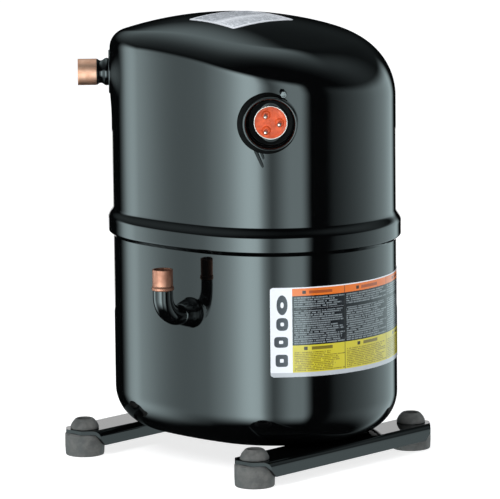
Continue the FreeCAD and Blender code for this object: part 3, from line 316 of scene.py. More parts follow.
def word_lines(graph, across, up, pitch, seed, fill=0.62):
    """Rows of short bars that read as small print from a distance; no letters."""
    row = graph.math("FLOOR", graph.math("DIVIDE", up, pitch))
    inside = graph.math("FRACT", graph.math("DIVIDE", up, pitch))
    bar = graph.between(inside, 0.22, 0.22 + fill)
    spot = graph.node("ShaderNodeCombineXYZ", inputs={
        "X": graph.times(across, 0.42), "Y": graph.times(row, 3.7), "Z": seed})
    words = graph.math("GREATER_THAN", graph.noise(spot.outputs[0], 1.6, 1.0), 0.37)
    fleck = graph.node("ShaderNodeCombineXYZ", inputs={
        "X": graph.times(across, 2.6), "Y": graph.times(row, 5.1), "Z": seed})
    grain = graph.smooth(graph.noise(fleck.outputs[0], 1.0, 1.0), 0.3, 0.6, 0.45, 1.0)
    return graph.times(bar, words, grain)


def printed(graph, across, up, blocks, base):
    """Stacks coloured rectangles: left, right, low, high, colour, and the ink and pitch of any small print."""
    colour = base
    for number, (left, right, low, high, paint, *small) in enumerate(blocks):
        area = graph.times(graph.between(across, left, right), graph.between(up, low, high))
        if small:
            ink, pitch = small
            row = graph.math("FLOOR", graph.math("DIVIDE", up, pitch))
            spot = graph.node("ShaderNodeCombineXYZ", inputs={"X": 0.37 * number, "Y": graph.times(row, 0.9)})
            ragged = graph.times(graph.noise(spot.outputs[0], 1.3, 0.0), -0.66 * (right - left))
            edge = graph.add(right - 1.5, ragged, 0.22 * (right - left))
            body = graph.times(graph.math("GREATER_THAN", across, left + 1.4),
                               graph.math("LESS_THAN", across, edge),
                               graph.between(up, low + 1.0, high - 1.0))
            lines = graph.times(word_lines(graph, across, up, pitch, 1.7 * number), body)
            paint = graph.mix(lines, paint, ink)
        colour = graph.mix(area, colour, paint)
    return colour


ORANGE = (0.66, 0.155, 0.020)
YELLOW = (0.52, 0.46, 0.035)
OLIVE = (0.20, 0.165, 0.02)
INK = (0.006, 0.007, 0.010)
PALE_INK = (0.19, 0.22, 0.235)
WHITE = (0.70, 0.73, 0.78)

LABEL_EDGES = (17.7, 63.2, 115.0, 170.0)
LABEL_STRIP = 3.6
LABEL_YELLOW = 25.6
LABEL_BLACK = 65.6
LABEL_TOP = 71.6


def on_sheet(graph):
    """How far a point of a label lies from its lower left corner, across and up, in millimetres."""
    uv = graph.node("ShaderNodeUVMap", uv_map="UVMap").outputs[0]
    parts = graph.node("ShaderNodeSeparateXYZ", inputs={"Vector": uv}).outputs
    return graph.times(parts[0], 1000.0), graph.times(parts[1], 1000.0)


def label_print(graph):
    """Side label: a pale column of plain marks, then three identical printed blocks."""
    across, up = on_sheet(graph)
    blocks = []
    for index in range(3):
        left, right = LABEL_EDGES[index:index + 2]
        middle = (left + right) / 2
        blocks += [
            (left, right, LABEL_BLACK, LABEL_TOP, ORANGE),
            (middle - 9, middle + 11, LABEL_BLACK + 1.6, LABEL_BLACK + 4.0, (0.30, 0.07, 0.02)),
            (middle - 14.5, middle - 11.5, LABEL_BLACK + 1.5, LABEL_BLACK + 4.1, (0.03, 0.015, 0.01)),
            (left, right, LABEL_YELLOW, LABEL_BLACK, INK, PALE_INK, 1.75),
            (left + 1.4, right - 1.4, 53.6, 56.4, INK, (0.36, 0.39, 0.41) if index == 0 else INK, 2.6),
            (left, right, LABEL_STRIP, LABEL_YELLOW, YELLOW, OLIVE, 1.45),
            (left, right, LABEL_YELLOW - 4.9, LABEL_YELLOW - 0.6, YELLOW),
            (middle - 7, middle + 11, LABEL_YELLOW - 4.0, LABEL_YELLOW - 1.4, (0.16, 0.13, 0.02)),
            (middle - 13.5, middle - 10.5, LABEL_YELLOW - 4.1, LABEL_YELLOW - 1.3, (0.04, 0.03, 0.01)),
            (right - 0.5, right + 0.3, LABEL_STRIP, LABEL_TOP, (0.02, 0.02, 0.02)),
        ]
    blocks.append((0.0, 200, 0.0, LABEL_STRIP, (0.42, 0.45, 0.48)))
    blocks.append((1.5, 150, 1.0, 3.0, (0.42, 0.45, 0.48), (0.10, 0.11, 0.12), 2.0))
    colour = printed(graph, across, up, blocks, WHITE)
    marks = [(9.6, 58.5, 4.4, 8.0), (9.6, 43.0, 4.8, 5.2), (8.6, 28.5, 5.6, 4.4), (9.0, 13.5, 5.0, 5.0)]
    for number, (x, y, wide, tall) in enumerate(marks):
        aside = graph.math("DIVIDE", graph.math("SUBTRACT", across, x), wide)
        rise = graph.math("DIVIDE", graph.math("SUBTRACT", up, y), tall)
        power = 2.0 + number
        bulk = graph.add(graph.math("POWER", graph.math("ABSOLUTE", aside), power),
                         graph.math("POWER", graph.math("ABSOLUTE", rise), power))
        hollow = graph.math("GREATER_THAN", bulk, 0.3 ** power)
        colour = graph.mix(graph.times(graph.math("LESS_THAN", bulk, 1.0), hollow), colour,
                           (0.03, 0.035, 0.045))
    dust = graph.noise(graph.place(), 200.0, 3.0)
    return {
        "Base_Color": graph.mix(graph.smooth(dust, 0.55, 0.9, 0.0, 0.10), colour, (0.45, 0.47, 0.5)),
        "Roughness": graph.smooth(dust, 0.3, 0.8, 0.10, 0.16),
    }


def plate_print(graph):
    """Crown plate: a heading bar and rows of plain bars on white."""
    across, up = on_sheet(graph)
    blocks = [
        (2.0, 65.0, 27.0, 51.5, (0.72, 0.75, 0.80), (0.22, 0.24, 0.27), 2.3),
        (2.0, 65.0, 2.0, 17.5, (0.80, 0.83, 0.88), (0.30, 0.33, 0.36), 2.9),
        (2.0, 65.0, 18.3, 19.0, (0.30, 0.33, 0.36)),
        (2.0, 65.0, 25.7, 26.4, (0.30, 0.33, 0.36)),
    ]
    colour = printed(graph, across, up, blocks, (0.80, 0.83, 0.88))
    dust = graph.noise(graph.place(), 150.0, 3.0)
    return {
        "Base_Color": graph.mix(graph.smooth(dust, 0.55, 0.9, 0.0, 0.12), colour, (0.5, 0.52, 0.55)),
        "Roughness": graph.smooth(dust, 0.3, 0.8, 0.22, 0.32),
    }


LABEL_MATERIAL = material("side_label_print", build=label_print, IOR=1.5)
PLATE_MATERIAL = material("plate_print", build=plate_print, IOR=1.45)

# ------------------------------------------------------------------ mesh helpers


def piece(name, verts, faces, slot, stands_for, uvs=None, paint=None, sharp=40.0):
    """A finished mesh piece on the shell, standing for CAD nodes. sharp is in degrees."""
    mesh = bpy.data.meshes.new(name)
    mesh.from_pydata([tuple(v) for v in verts], [], faces)
    if uvs is not None:
        layer = mesh.uv_layers.new(name="UVMap")
        for loop in mesh.loops:
            layer.data[loop.index].uv = uvs[loop.vertex_index]
    made = bpy.data.objects.new(name, mesh)
    bpy.context.scene.collection.objects.link(made)
    form = bmesh.new()
    form.from_mesh(mesh)
    bmesh.ops.recalc_face_normals(form, faces=form.faces)
    form.to_mesh(mesh)
    form.free()
    mesh.shade_smooth()
    mesh.set_sharp_from_angle(angle=math.radians(sharp))
    mesh.materials.append(paint or MATERIALS[slot])
    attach(made, "shell")
    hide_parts(*stands_for)


def grid_faces(rows, columns, wrap_columns=True, wrap_rows=False):
    """Quads between neighbouring rows of points."""
    faces = []
    for row in range(rows if wrap_rows else rows - 1):
        for column in range(columns if wrap_columns else columns - 1):
            right = (column + 1) % columns
            above = (row + 1) % rows
            faces.append((row * columns + column, row * columns + right,
                          above * columns + right, above * columns + column))
    return faces


def axes(point, axis):
    """A matrix whose local Z lies along an axis."""
    turn = Vector(axis).to_track_quat("Z", "Y").to_matrix().to_4x4()
    return Matrix.Translation(point) @ turn


def rounded(points, radius, steps=4):
    """A closed outline in (radius, height) with each corner rounded off where there is room."""
    result = []
    count = len(points)
    for index in range(count):
        corner = Vector(points[index])
        before = Vector(points[index - 1]) - corner
        after = Vector(points[(index + 1) % count]) - corner
        reach = min(radius, before.length * 0.45, after.length * 0.45)
        if reach < 1e-7:
            result.append(tuple(corner))
            continue
        first = corner + before.normalized() * reach
        last = corner + after.normalized() * reach
        for step in range(steps + 1):
            share = step / steps
            result.append(tuple((1 - share) ** 2 * first + 2 * share * (1 - share) * corner
                                + share ** 2 * last))
    return result


def lathe_mesh(outline, place, segments):
    """Verts and faces of a closed outline turned round local Z; outline in millimetres."""
    verts = []
    for step in range(segments):
        angle = 2 * math.pi * step / segments
        for radius, height in outline:
            verts.append(place @ Vector((radius * MM * math.cos(angle), radius * MM * math.sin(angle),
                                         height * MM)))
    return verts, grid_faces(segments, len(outline), True, True)


def lathe(name, points, place, slot, stands_for, soft, segments, paint=None):
    """A turned piece; soft is the rounding of the outline's corners, in millimetres."""
    verts, faces = lathe_mesh(rounded(points, soft), place, segments)
    piece(name, verts, faces, slot, stands_for, paint=paint)


def joined(parts):
    """Several (verts, faces) meshes as one."""
    verts = []
    faces = []
    for more_verts, more_faces in parts:
        start = len(verts)
        verts += more_verts
        faces += [tuple(start + index for index in face) for face in more_faces]
    return verts, faces


# ------------------------------------------------------------------ shell outline

lower_low, lower_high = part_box("lower_shell")
upper_low, upper_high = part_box("upper_shell")
CENTRE = Vector(((lower_low.x + lower_high.x) / 2, (lower_low.y + lower_high.y) / 2, 0))
HALF_WIDTH = (lower_high.x - lower_low.x) / 2
HALF_LENGTH = (lower_high.y - lower_low.y) / 2
END_RADIUS = 97.5 * MM
END_CENTRE = HALF_LENGTH - END_RADIUS
SIDE_RADIUS = (HALF_WIDTH ** 2 - END_RADIUS ** 2 + END_CENTRE ** 2) / (2 * (HALF_WIDTH - END_RADIUS))
JOIN = math.atan2(END_CENTRE, SIDE_RADIUS - HALF_WIDTH)
WALL = 3.6 * MM
KNUCKLE = 33 * MM
DOME_RADIUS = 296 * MM
DOME_CENTRE = Vector((CENTRE.x - 12 * MM, CENTRE.y + 12 * MM, upper_high.z - DOME_RADIUS))
SHOULDER_SMALL = 15.4 * MM
SHOULDER_LARGE = 51.5 * MM
SHOULDER_AZIMUTH = math.radians(139)
RIM_STEP = 4.0 * MM
RIM_EDGE = 1.1 * MM
BELL_LOW = 195.5 * MM
BELL_HIGH = 204.5 * MM
WALL_LOW = 207 * MM
COLUMNS = 520


def wall_point(azimuth, offset=0.0, z=0.0):
    """The point of the oval wall whose outward normal has this azimuth, in radians."""
    turn = (azimuth + math.pi / 2) % (2 * math.pi) - math.pi / 2
    out = Vector((math.cos(azimuth), math.sin(azimuth), 0))
    if abs(turn) <= JOIN:
        base = Vector((HALF_WIDTH - SIDE_RADIUS, 0, 0)) + out * SIDE_RADIUS
    elif abs(turn - math.pi) <= JOIN:
        base = Vector((SIDE_RADIUS - HALF_WIDTH, 0, 0)) + out * SIDE_RADIUS
    else:
        base = Vector((0, math.copysign(END_CENTRE, out.y), 0)) + out * END_RADIUS
    return CENTRE + base + out * offset + UP * z


def even_azimuths(count):
    """Azimuths of evenly spaced points round the oval."""
    fine = 7200
    points = [wall_point(2 * math.pi * step / fine) for step in range(fine + 1)]
    lengths = [0.0]
    for first, second in zip(points, points[1:]):
        lengths.append(lengths[-1] + (second - first).length)
    result = []
    step = 0
    for index in range(count):
        wanted = lengths[-1] * index / count
        while lengths[step + 1] < wanted:
            step += 1
        share = (wanted - lengths[step]) / (lengths[step + 1] - lengths[step])
        result.append(2 * math.pi * (step + share) / fine)
    return result


AZIMUTHS = even_azimuths(COLUMNS)


def turned_between(first, second, share):
    """A unit vector on the arc between two unit vectors."""
    angle = first.angle(second)
    if angle < 1e-6:
        return first.copy()
    return (first * math.sin((1 - share) * angle) + second * math.sin(share * angle)) / math.sin(angle)


def dome_column(azimuth, offset, rows, arc_rows, crown_rows, low):
    """Points up the wall, over the shoulder and up to the crown for one azimuth."""
    out = Vector((math.cos(azimuth), math.sin(azimuth), 0))
    share = (1 - math.cos(azimuth - SHOULDER_AZIMUTH)) / 2
    radius = SHOULDER_SMALL + share * (SHOULDER_LARGE - SHOULDER_SMALL) + offset
    ball = wall_point(azimuth, offset - radius)
    flat = ball - DOME_CENTRE
    flat.z = 0
    reach = DOME_RADIUS + offset - radius
    ball.z = DOME_CENTRE.z + math.sqrt(reach ** 2 - flat.length_squared)
    over = (ball - DOME_CENTRE).normalized()
    points = [wall_point(azimuth, offset, low + (ball.z - low) * step / rows) for step in range(rows)]
    points += [ball + turned_between(out, over, step / arc_rows) * radius for step in range(arc_rows)]
    points += [DOME_CENTRE + turned_between(over, UP, step / crown_rows) * (DOME_RADIUS + offset)
               for step in range(crown_rows)]
    return points


def smoothstep(value, low, high):
    """0 below low, 1 above high and an S between."""
    share = min(1.0, max(0.0, (value - low) / (high - low)))
    return share * share * (3 - 2 * share)


# ------------------------------------------------------------------ upper shell

suction_point, suction_axis = mount_frame("suction_socket")
suction_azimuth = math.atan2(suction_axis.y, suction_axis.x) % (2 * math.pi)
SUCTION_FACE = wall_point(suction_azimuth, -0.4 * MM, suction_point.z)
PAD_FLAT = 18.3 * MM
PAD_EDGE = 38.0 * MM
PAD_BROW = 1.3 * MM


def pressed_flat(point):
    """Presses the wall out to a low boss round the suction fitting, with a flat seat in it."""
    away = point - SUCTION_FACE
    along = away.dot(suction_axis)
    aside = (away - suction_axis * along).length
    if aside > PAD_EDGE or abs(along) > 20 * MM:
        return point
    if aside < PAD_FLAT:
        return point + suction_axis * (PAD_BROW * smoothstep(aside, PAD_FLAT - 0.6 * MM, PAD_FLAT) - along)
    at_edge = along * (PAD_FLAT / aside) ** 2
    fade = (PAD_EDGE - aside) / (PAD_EDGE - PAD_FLAT)
    return point + suction_axis * (PAD_BROW - at_edge) * fade ** 2


def rim_offset(z):
    """How far the belled rim stands out of the wall."""
    return RIM_STEP * (1 - smoothstep(z, BELL_LOW, BELL_HIGH))


def upper_column(azimuth):
    """The cap's outside for one azimuth: rim, bell, wall, shoulder and crown."""
    low = upper_low.z
    rim = [wall_point(azimuth, 0.2 * MM, low), wall_point(azimuth, RIM_STEP - RIM_EDGE, low)]
    for step in range(1, 5):
        turn = math.pi / 2 * step / 4
        rim.append(wall_point(azimuth, RIM_STEP - RIM_EDGE * (1 - math.sin(turn)),
                              low + RIM_EDGE * (1 - math.cos(turn))))
    for step in range(1, 26):
        z = low + RIM_EDGE + (WALL_LOW - low - RIM_EDGE) * step / 25
        rim.append(wall_point(azimuth, rim_offset(z), z))
    outer = dome_column(azimuth, 0.0, 60, 30, 26, WALL_LOW)
    return rim + [pressed_flat(point) for point in outer[1:]]


def closed_shell(name, outer_columns, inner_columns, outer_tip, inner_tip, slot, stands_for):
    """A skin and its inside, joined at the rim; each column runs from the rim to the tip."""
    columns = len(outer_columns)
    outer_rows = len(outer_columns[0])
    inner_rows = len(inner_columns[0])
    verts = []
    for row in range(outer_rows):
        verts += [outer_columns[column][row] for column in range(columns)]
    start = len(verts)
    for row in range(inner_rows):
        verts += [inner_columns[column][row] for column in range(columns)]
    faces = grid_faces(outer_rows, columns)
    faces += [tuple(start + index for index in face) for face in grid_faces(inner_rows, columns)]
    verts += [outer_tip, inner_tip]
    last_outer = (outer_rows - 1) * columns
    last_inner = start + (inner_rows - 1) * columns
    for column in range(columns):
        right = (column + 1) % columns
        faces.append((column, right, start + right, start + column))
        faces.append((last_outer + column, last_outer + right, len(verts) - 2))
        faces.append((last_inner + column, last_inner + right, len(verts) - 1))
    piece(name, verts, faces, slot, stands_for)


closed_shell(
    "upper_shell_skin",
    [upper_column(azimuth) for azimuth in AZIMUTHS],
    [[wall_point(azimuth, 0.2 * MM, 184.5 * MM), wall_point(azimuth, 0.2 * MM, 195 * MM)]
     + dome_column(azimuth, -WALL, 6, 8, 8, 204 * MM) for azimuth in AZIMUTHS],
    DOME_CENTRE + UP * DOME_RADIUS, DOME_CENTRE + UP * (DOME_RADIUS - WALL),
    "shell_paint", ["upper_shell"])

# ------------------------------------------------------------------ lower shell


def bowl_column(azimuth, offset, rows, arc_rows, floor_rows, top):
    """Points down the wall, round the knuckle and in across the floor."""
    bend = KNUCKLE
    floor = lower_low.z - offset
    points = [wall_point(azimuth, offset, top + (floor + bend - top) * step / rows) for step in range(rows)]
    for step in range(arc_rows + 1):
        turn = math.pi / 2 * step / arc_rows
        points.append(wall_point(azimuth, offset - bend * (1 - math.cos(turn)),
                                 floor + bend * (1 - math.sin(turn))))
    edge = points[-1]
    tip = Vector((CENTRE.x, CENTRE.y, floor))
    points += [edge.lerp(tip, step / floor_rows) for step in range(1, floor_rows)]
    return points


closed_shell(
    "lower_shell_skin",
    [bowl_column(azimuth, 0.0, 46, 30, 8, lower_high.z) for azimuth in AZIMUTHS],
    [bowl_column(azimuth, -WALL, 6, 8, 4, lower_high.z) for azimuth in AZIMUTHS],
    Vector((CENTRE.x, CENTRE.y, lower_low.z)), Vector((CENTRE.x, CENTRE.y, lower_low.z + WALL)),
    "shell_paint", ["lower_shell"])


WELD_LOW = 181.0 * MM
WELD_HIGH = 184.0 * MM
WELD_REACH = 3.3 * MM
WELD_ROOT = 0.02 * MM
WELD_RIPPLE = 0.10 * MM


def weld_column(azimuth):
    """A fillet of weld under the rim, with the faint scallops of the torch's steps."""
    point = wall_point(azimuth)
    ripple = noise.noise(Vector((point.x, point.y, 0)) * 260) * WELD_RIPPLE
    outline = [wall_point(azimuth, WELD_ROOT, WELD_LOW)]
    for step in range(1, 10):
        share = step / 10
        outline.append(wall_point(azimuth, WELD_REACH * share + ripple * math.sin(math.pi * share),
                                  WELD_LOW + (WELD_HIGH - WELD_LOW) * share))
    outline.append(wall_point(azimuth, WELD_REACH, WELD_HIGH))
    outline.append(wall_point(azimuth, WELD_ROOT, WELD_HIGH))
    return outline


weld_columns = [weld_column(azimuth) for azimuth in AZIMUTHS]
piece("seam_weld", [point for column in weld_columns for point in column],
      grid_faces(COLUMNS, len(weld_columns[0]), True, True), "shell_paint", ["seam_weld_bead"])

# ------------------------------------------------------------------ suction fitting

suction_place = axes(SUCTION_FACE, suction_axis)
lathe("suction_neck", [
    (8.0, -9.0), (10.6, -9.0), (10.6, 0.0), (17.2, 0.0), (18.0, 0.5), (18.0, 1.7), (17.4, 2.2),
    (10.9, 2.2), (11.2, 2.8), (11.4, 4.0), (11.1, 5.1), (10.2, 6.3), (9.4, 7.5), (9.2, 8.7),
    (9.5, 9.9), (10.4, 11.0), (10.7, 11.6), (10.7, 11.9), (8.0, 11.9),
], suction_place, "shell_paint", ["suction_fitting"], 0.6, 160)
lathe("suction_sleeve", [
    (8.0, 11.9), (10.8, 11.9), (10.8, 27.4), (9.6, 27.4), (9.6, 13.4), (8.0, 13.4),
], suction_place, "copper_tube", ["suction_stub"], 0.45, 160,
      paint=material("bright_copper", Metallic=1.0,
                     build=drawn_copper((0.84, 0.46, 0.325), (0.72, 0.355, 0.24))))
for name in ("suction_neck", "suction_sleeve"):
    bpy.data.objects[name].visible_glossy = False  # no mirror image of the line in the wall beside it

# ------------------------------------------------------------------ discharge line

discharge_point = mount_frame("discharge_socket")[0]
ELBOW_Z = 131.9 * MM
ELBOW_BEND = 17 * MM
ELBOW_RADIUS = 8.1 * MM
ELBOW_TOP = 154.3 * MM
ELBOW_START = -78 * MM


def sweep(path, radius, segments=72):
    """A round bar along a path that lies in a plane across Y."""
    verts = []
    for index, centre in enumerate(path):
        before = path[max(0, index - 1)]
        after = path[min(len(path) - 1, index + 1)]
        along = (after - before).normalized()
        side = Vector((0, 1, 0))
        up = along.cross(side)
        for step in range(segments):
            angle = 2 * math.pi * step / segments
            verts.append(centre + (side * math.cos(angle) + up * math.sin(angle)) * radius)
    faces = grid_faces(len(path), segments)
    faces.append(tuple(range(segments))[::-1])
    faces.append(tuple(range((len(path) - 1) * segments, len(path) * segments)))
    return verts, faces


elbow_path = [Vector((ELBOW_START - step * 1.0 * MM, discharge_point.y, ELBOW_Z)) for step in range(38)]
elbow_path = [point for point in elbow_path if point.x > discharge_point.x + ELBOW_BEND]
for step in range(25):
    turn = math.pi / 2 * step / 24
    elbow_path.append(Vector((discharge_point.x + ELBOW_BEND * (1 - math.sin(turn)), discharge_point.y,
                              ELBOW_Z + ELBOW_BEND * (1 - math.cos(turn)))))
elbow_path.append(Vector((discharge_point.x, discharge_point.y, ELBOW_TOP)))
elbow_verts, elbow_faces = sweep(elbow_path, ELBOW_RADIUS)
piece("discharge_bend", elbow_verts, elbow_faces, "shell_paint", ["discharge_elbow"])

collar_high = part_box("discharge_weld_collar")[1]
collar_place = axes(Vector((collar_high.x, discharge_point.y, ELBOW_Z)), Vector((-1, 0, 0)))
collar_outline = rounded([(7.9, -1.0), (12.7, -1.0), (12.4, 0.6), (11.7, 2.4), (11.0, 4.8), (10.3, 7.4),
                          (9.5, 9.8), (8.7, 11.8), (7.9, 12.6)], 1.0)
collar_verts, collar_faces = lathe_mesh(collar_outline, collar_place, 96)
for index, vert in enumerate(collar_verts):
    middle = Vector((vert.x, discharge_point.y, ELBOW_Z))
    swell = 1 + 0.015 * noise.noise(vert * 300)
    collar_verts[index] = middle + (vert - middle) * swell
piece("discharge_weld", collar_verts, collar_faces, "shell_paint", ["discharge_weld_collar"])

stub_place = axes(Vector((discharge_point.x, discharge_point.y, ELBOW_TOP)), UP)
lathe("discharge_sleeve", [
    (5.6, 0.0), (8.4, 0.0), (9.0, 0.7), (9.0, 2.2), (8.6, 3.0), (8.2, 3.8), (8.2, 17.0), (6.4, 17.0),
    (6.4, 4.0), (5.6, 4.0),
], stub_place, "copper_tube", ["discharge_stub"], 0.5, 128)

# ------------------------------------------------------------------ electrical terminal

pins_point, terminal_axis = mount_frame("terminal_pins")
terminal_azimuth = math.atan2(terminal_axis.y, terminal_axis.x) % (2 * math.pi)
TERMINAL_WALL = wall_point(terminal_azimuth, 0.0, pins_point.z)
terminal_right = UP.cross(terminal_axis)
PIN_CIRCLE = MOUNTS["terminal_pins"]["dims"]["pcd_mm"] / 2
PIN_RADIUS = MOUNTS["terminal_pins"]["dims"]["stud_r_mm"]


def terminal_place(right=0.0, rise=0.0, tilt=0.0):
    """A place on the terminal, in millimetres seen from outside; local X is to the right."""
    point = TERMINAL_WALL + (terminal_right * right + UP * rise) * MM
    turn = Matrix((terminal_right, UP, terminal_axis)).transposed().to_4x4()
    return Matrix.Translation(point) @ turn @ Matrix.Rotation(tilt, 4, "Z")


lathe("terminal_guard", [
    (17.7, -4.5), (21.8, -4.5), (21.8, 11.2), (21.2, 12.0), (20.2, 12.0), (19.6, 11.2), (19.6, 8.2),
    (18.3, 4.4), (17.7, 2.0), (17.7, -0.9),
], terminal_place(), "shell_paint", ["terminal_fence"], 0.5, 160)
# Ring round the seal: plated steel whose pink tint is a painted reflection of the orange seal beside it.
lathe("terminal_body", [
    (12.6, 1.9), (12.8, 2.1), (13.3, 2.1), (13.5, 1.5), (13.5, -1.0), (17.2, -1.0), (17.2, -3.0),
    (12.6, -3.0),
], terminal_place(), "zinc_steel", ["terminal_cup"], 0.2, 160,
      paint=material("ring_with_painted_seal_reflection", Metallic=1.0,
                     build=worked_metal((0.80, 0.70, 0.66), (0.62, 0.52, 0.48), 0.40, 0.55)))
MATT_BLACK = material("matt_black", IOR=1.4, Specular_IOR_Level=0.04, build=mottled(
    (300.0, 3.0), (0.0008, 0.0008, 0.0008), (0.003, 0.003, 0.003), (0.3, 0.7, 0.35, 0.5),
    (1200.0,), (0.00003, 0.5)))
lathe("terminal_well", [
    (13.6, -0.3), (17.5, 0.3), (17.5, -0.9), (13.6, -0.9),
], terminal_place(), "zinc_steel", ["terminal_cup"], 0.2, 160, paint=MATT_BLACK)

PIN_SPOTS = [(PIN_CIRCLE * math.cos(math.radians(angle)), PIN_CIRCLE * math.sin(math.radians(angle)))
             for angle in (0, 120, 240)]


SEAL_RADIUS = 12.8
SEAL_RINGS = 64
SEAL_SEGMENTS = 168


def seal_point(radius, step, height=None):
    """A point of the seal; without a height it lies on the modelled face."""
    angle = 2 * math.pi * step / SEAL_SEGMENTS
    x = radius * math.cos(angle)
    y = radius * math.sin(angle)
    return terminal_place() @ (Vector((x, y, seal_height(x, y) if height is None else height)) * MM)


def seal_height(x, y):
    """The seal's face: a shallow dish, a raised collar round each pin and a moulding mark."""
    centre = math.hypot(x, y)
    height = 0.9 + 0.6 * smoothstep(centre, 9.0, SEAL_RADIUS) - 0.35 * (1 - smoothstep(centre, 0.4, 1.8))
    for pin_x, pin_y in PIN_SPOTS:
        away = math.hypot(x - pin_x, y - pin_y)
        collar = smoothstep(away, 0.9, 1.4) * (1 - smoothstep(away, 2.5, 3.7))
        height += 1.7 * collar
    return height


seal_verts = [seal_point(SEAL_RADIUS * (ring + 0.02) / (SEAL_RINGS + 0.02), step)
              for ring in range(SEAL_RINGS + 1) for step in range(SEAL_SEGMENTS)]
seal_verts += [seal_point(SEAL_RADIUS, step, -2.8) for step in range(SEAL_SEGMENTS)]
seal_faces = grid_faces(SEAL_RINGS + 2, SEAL_SEGMENTS)
seal_faces.append(tuple(range(SEAL_SEGMENTS)))
seal_faces.append(tuple(range((SEAL_RINGS + 1) * SEAL_SEGMENTS, (SEAL_RINGS + 2) * SEAL_SEGMENTS)))
piece("terminal_seal_face", seal_verts, seal_faces, "terminal_seal", ["terminal_insulator"])

pin_outline = rounded([(0.02, -2.5), (PIN_RADIUS, -2.5), (PIN_RADIUS, 14.3), (0.9, 15.5), (0.02, 15.5)],
                      0.5, 5)
pin_meshes = [lathe_mesh(pin_outline, terminal_place(*spot), 40) for spot in PIN_SPOTS]
piece("terminal_pin_set", *joined(pin_meshes), "zinc_steel", ["terminal_pins"],
      paint=material("tinned_pin", Metallic=1.0,
                     build=worked_metal((0.88, 0.72, 0.66), (0.62, 0.48, 0.43), 0.40, 0.52)))

STUD_PLACE = terminal_place(10.8, 23.2)
thread = [(0.02, -0.8), (2.0, -0.8)]
for turn in range(8):
    thread += [(2.0, -0.4 + turn * 1.0), (1.7, 0.1 + turn * 1.0)]
thread += [(2.0, 7.8), (0.02, 7.8)]
stud_mesh = lathe_mesh(rounded(thread, 0.15, 2), STUD_PLACE, 48)
head_outline = [(0.02, 7.8), (2.6, 7.8), (2.9, 8.1), (2.9, 9.9), (2.5, 10.4), (1.5, 10.4), (1.3, 10.1),
                (0.02, 10.1)]
head_mesh = lathe_mesh(head_outline, STUD_PLACE, 6)
piece("ground_screw", *joined([stud_mesh, head_mesh]), "zinc_steel", ["ground_stud"], sharp=25.0,
      paint=material("dull_screw", Metallic=1.0,
                     build=worked_metal((0.16, 0.16, 0.16), (0.07, 0.07, 0.07), 0.38, 0.52)))


def slab_mesh(outline, low, high, place, soft=0.25):
    """A flat plate from an outline, with its top and bottom edges eased."""
    count = len(outline)
    middle = Vector((sum(p[0] for p in outline) / count, sum(p[1] for p in outline) / count))
    levels = [(low, soft), (low + soft, 0.0), (high - soft, 0.0), (high, soft)]
    verts = []
    for height, inset in levels:
        for point in outline:
            flat = Vector(point)
            pulled = flat - (flat - middle).normalized() * inset
            verts.append(place @ (Vector((pulled.x, pulled.y, height)) * MM))
    faces = grid_faces(len(levels), count)
    faces.append(tuple(range(count))[::-1])
    faces.append(tuple(range((len(levels) - 1) * count, len(levels) * count)))
    return verts, faces


STRAP_PLACE = terminal_place(-12.6, -17.6, math.radians(23.5))
long_leg = [(-0.8, -3.0), (-0.8, -17.4), (-1.2, -19.2), (-2.1, -19.3), (-2.7, -17.8), (-3.0, -4.5)]
short_leg = [(0.8, -3.0), (3.0, -3.0), (2.5, -11.8), (2.0, -13.3), (1.2, -13.4), (0.8, -12.4)]
BAIL_ASIDE = -2.6
BAIL_RISE = -0.6
BAIL_RADIUS = 24.0
BAIL_FIRST = 48
BAIL_LAST = 338
BAIL_STEPS = 150
BAIL_CORNERS = 6
GUARD_RADIUS = 21.85
bail_verts = []
for step in range(BAIL_STEPS + 1):
    angle = math.radians(BAIL_FIRST + (BAIL_LAST - BAIL_FIRST) * step / BAIL_STEPS)
    x = BAIL_ASIDE + BAIL_RADIUS * math.cos(angle)
    y = BAIL_RISE + BAIL_RADIUS * math.sin(angle)
    reach = math.hypot(x, y)
    inner = GUARD_RADIUS / reach
    soft = max(inner, 1 - 0.7 / reach)
    section = ((inner, -1.5), (1.0, -1.5), (1.0, 4.2), ((1 + soft) / 2, 4.8), (soft, 5.0), (inner, 5.0))
    bail_verts += [terminal_place() @ (Vector((x * share, y * share, out)) * MM) for share, out in section]
bail_faces = grid_faces(BAIL_STEPS + 1, BAIL_CORNERS)
bail_faces.append(tuple(range(BAIL_CORNERS)))
bail_faces.append(tuple(range(BAIL_STEPS * BAIL_CORNERS, (BAIL_STEPS + 1) * BAIL_CORNERS)))
piece("cover_bail", bail_verts, bail_faces, "shell_paint", ["terminal_cover_strap"], paint=MATT_BLACK)
piece("cover_tongue", *joined([
    slab_mesh(rounded(long_leg, 0.8, 3), 0.5, 1.8, STRAP_PLACE),
    slab_mesh(rounded(short_leg, 0.8, 3), 0.5, 1.8, STRAP_PLACE),
]), "shell_paint", ["terminal_cover_strap"])

# ------------------------------------------------------------------ feet

SLEEVE_TOP = 27.0
foot_outline = rounded([
    (5.6, 0.3), (6.2, 0.0), (15.6, 0.0), (16.0, 1.2), (16.3, 8.0), (16.2, 17.6), (14.9, 18.5), (10.4, 18.5),
    (10.4, 21.5), (11.8, 21.6), (11.7, 23.4), (10.4, 26.4), (8.0, 29.2), (6.6, 30.1), (5.6, 29.4),
], 1.0, 5)
for name in ("front_left", "front_right", "rear_left", "rear_right"):
    low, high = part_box("grommet_" + name)
    place = axes(Vector(((low.x + high.x) / 2, (low.y + high.y) / 2, 0)), UP)
    verts, faces = lathe_mesh(foot_outline, place, 120)
    for index, vert in enumerate(verts):
        if vert.z > 0.5 * MM:
            axis_point = Vector((place.translation.x, place.translation.y, vert.z))
            sag = 1 + 0.006 * noise.noise(vert * 90)
            verts[index] = axis_point + (vert - axis_point) * min(sag, 1.0)
    piece("foot_" + name, verts, faces, "foot_rubber", ["grommet_" + name])

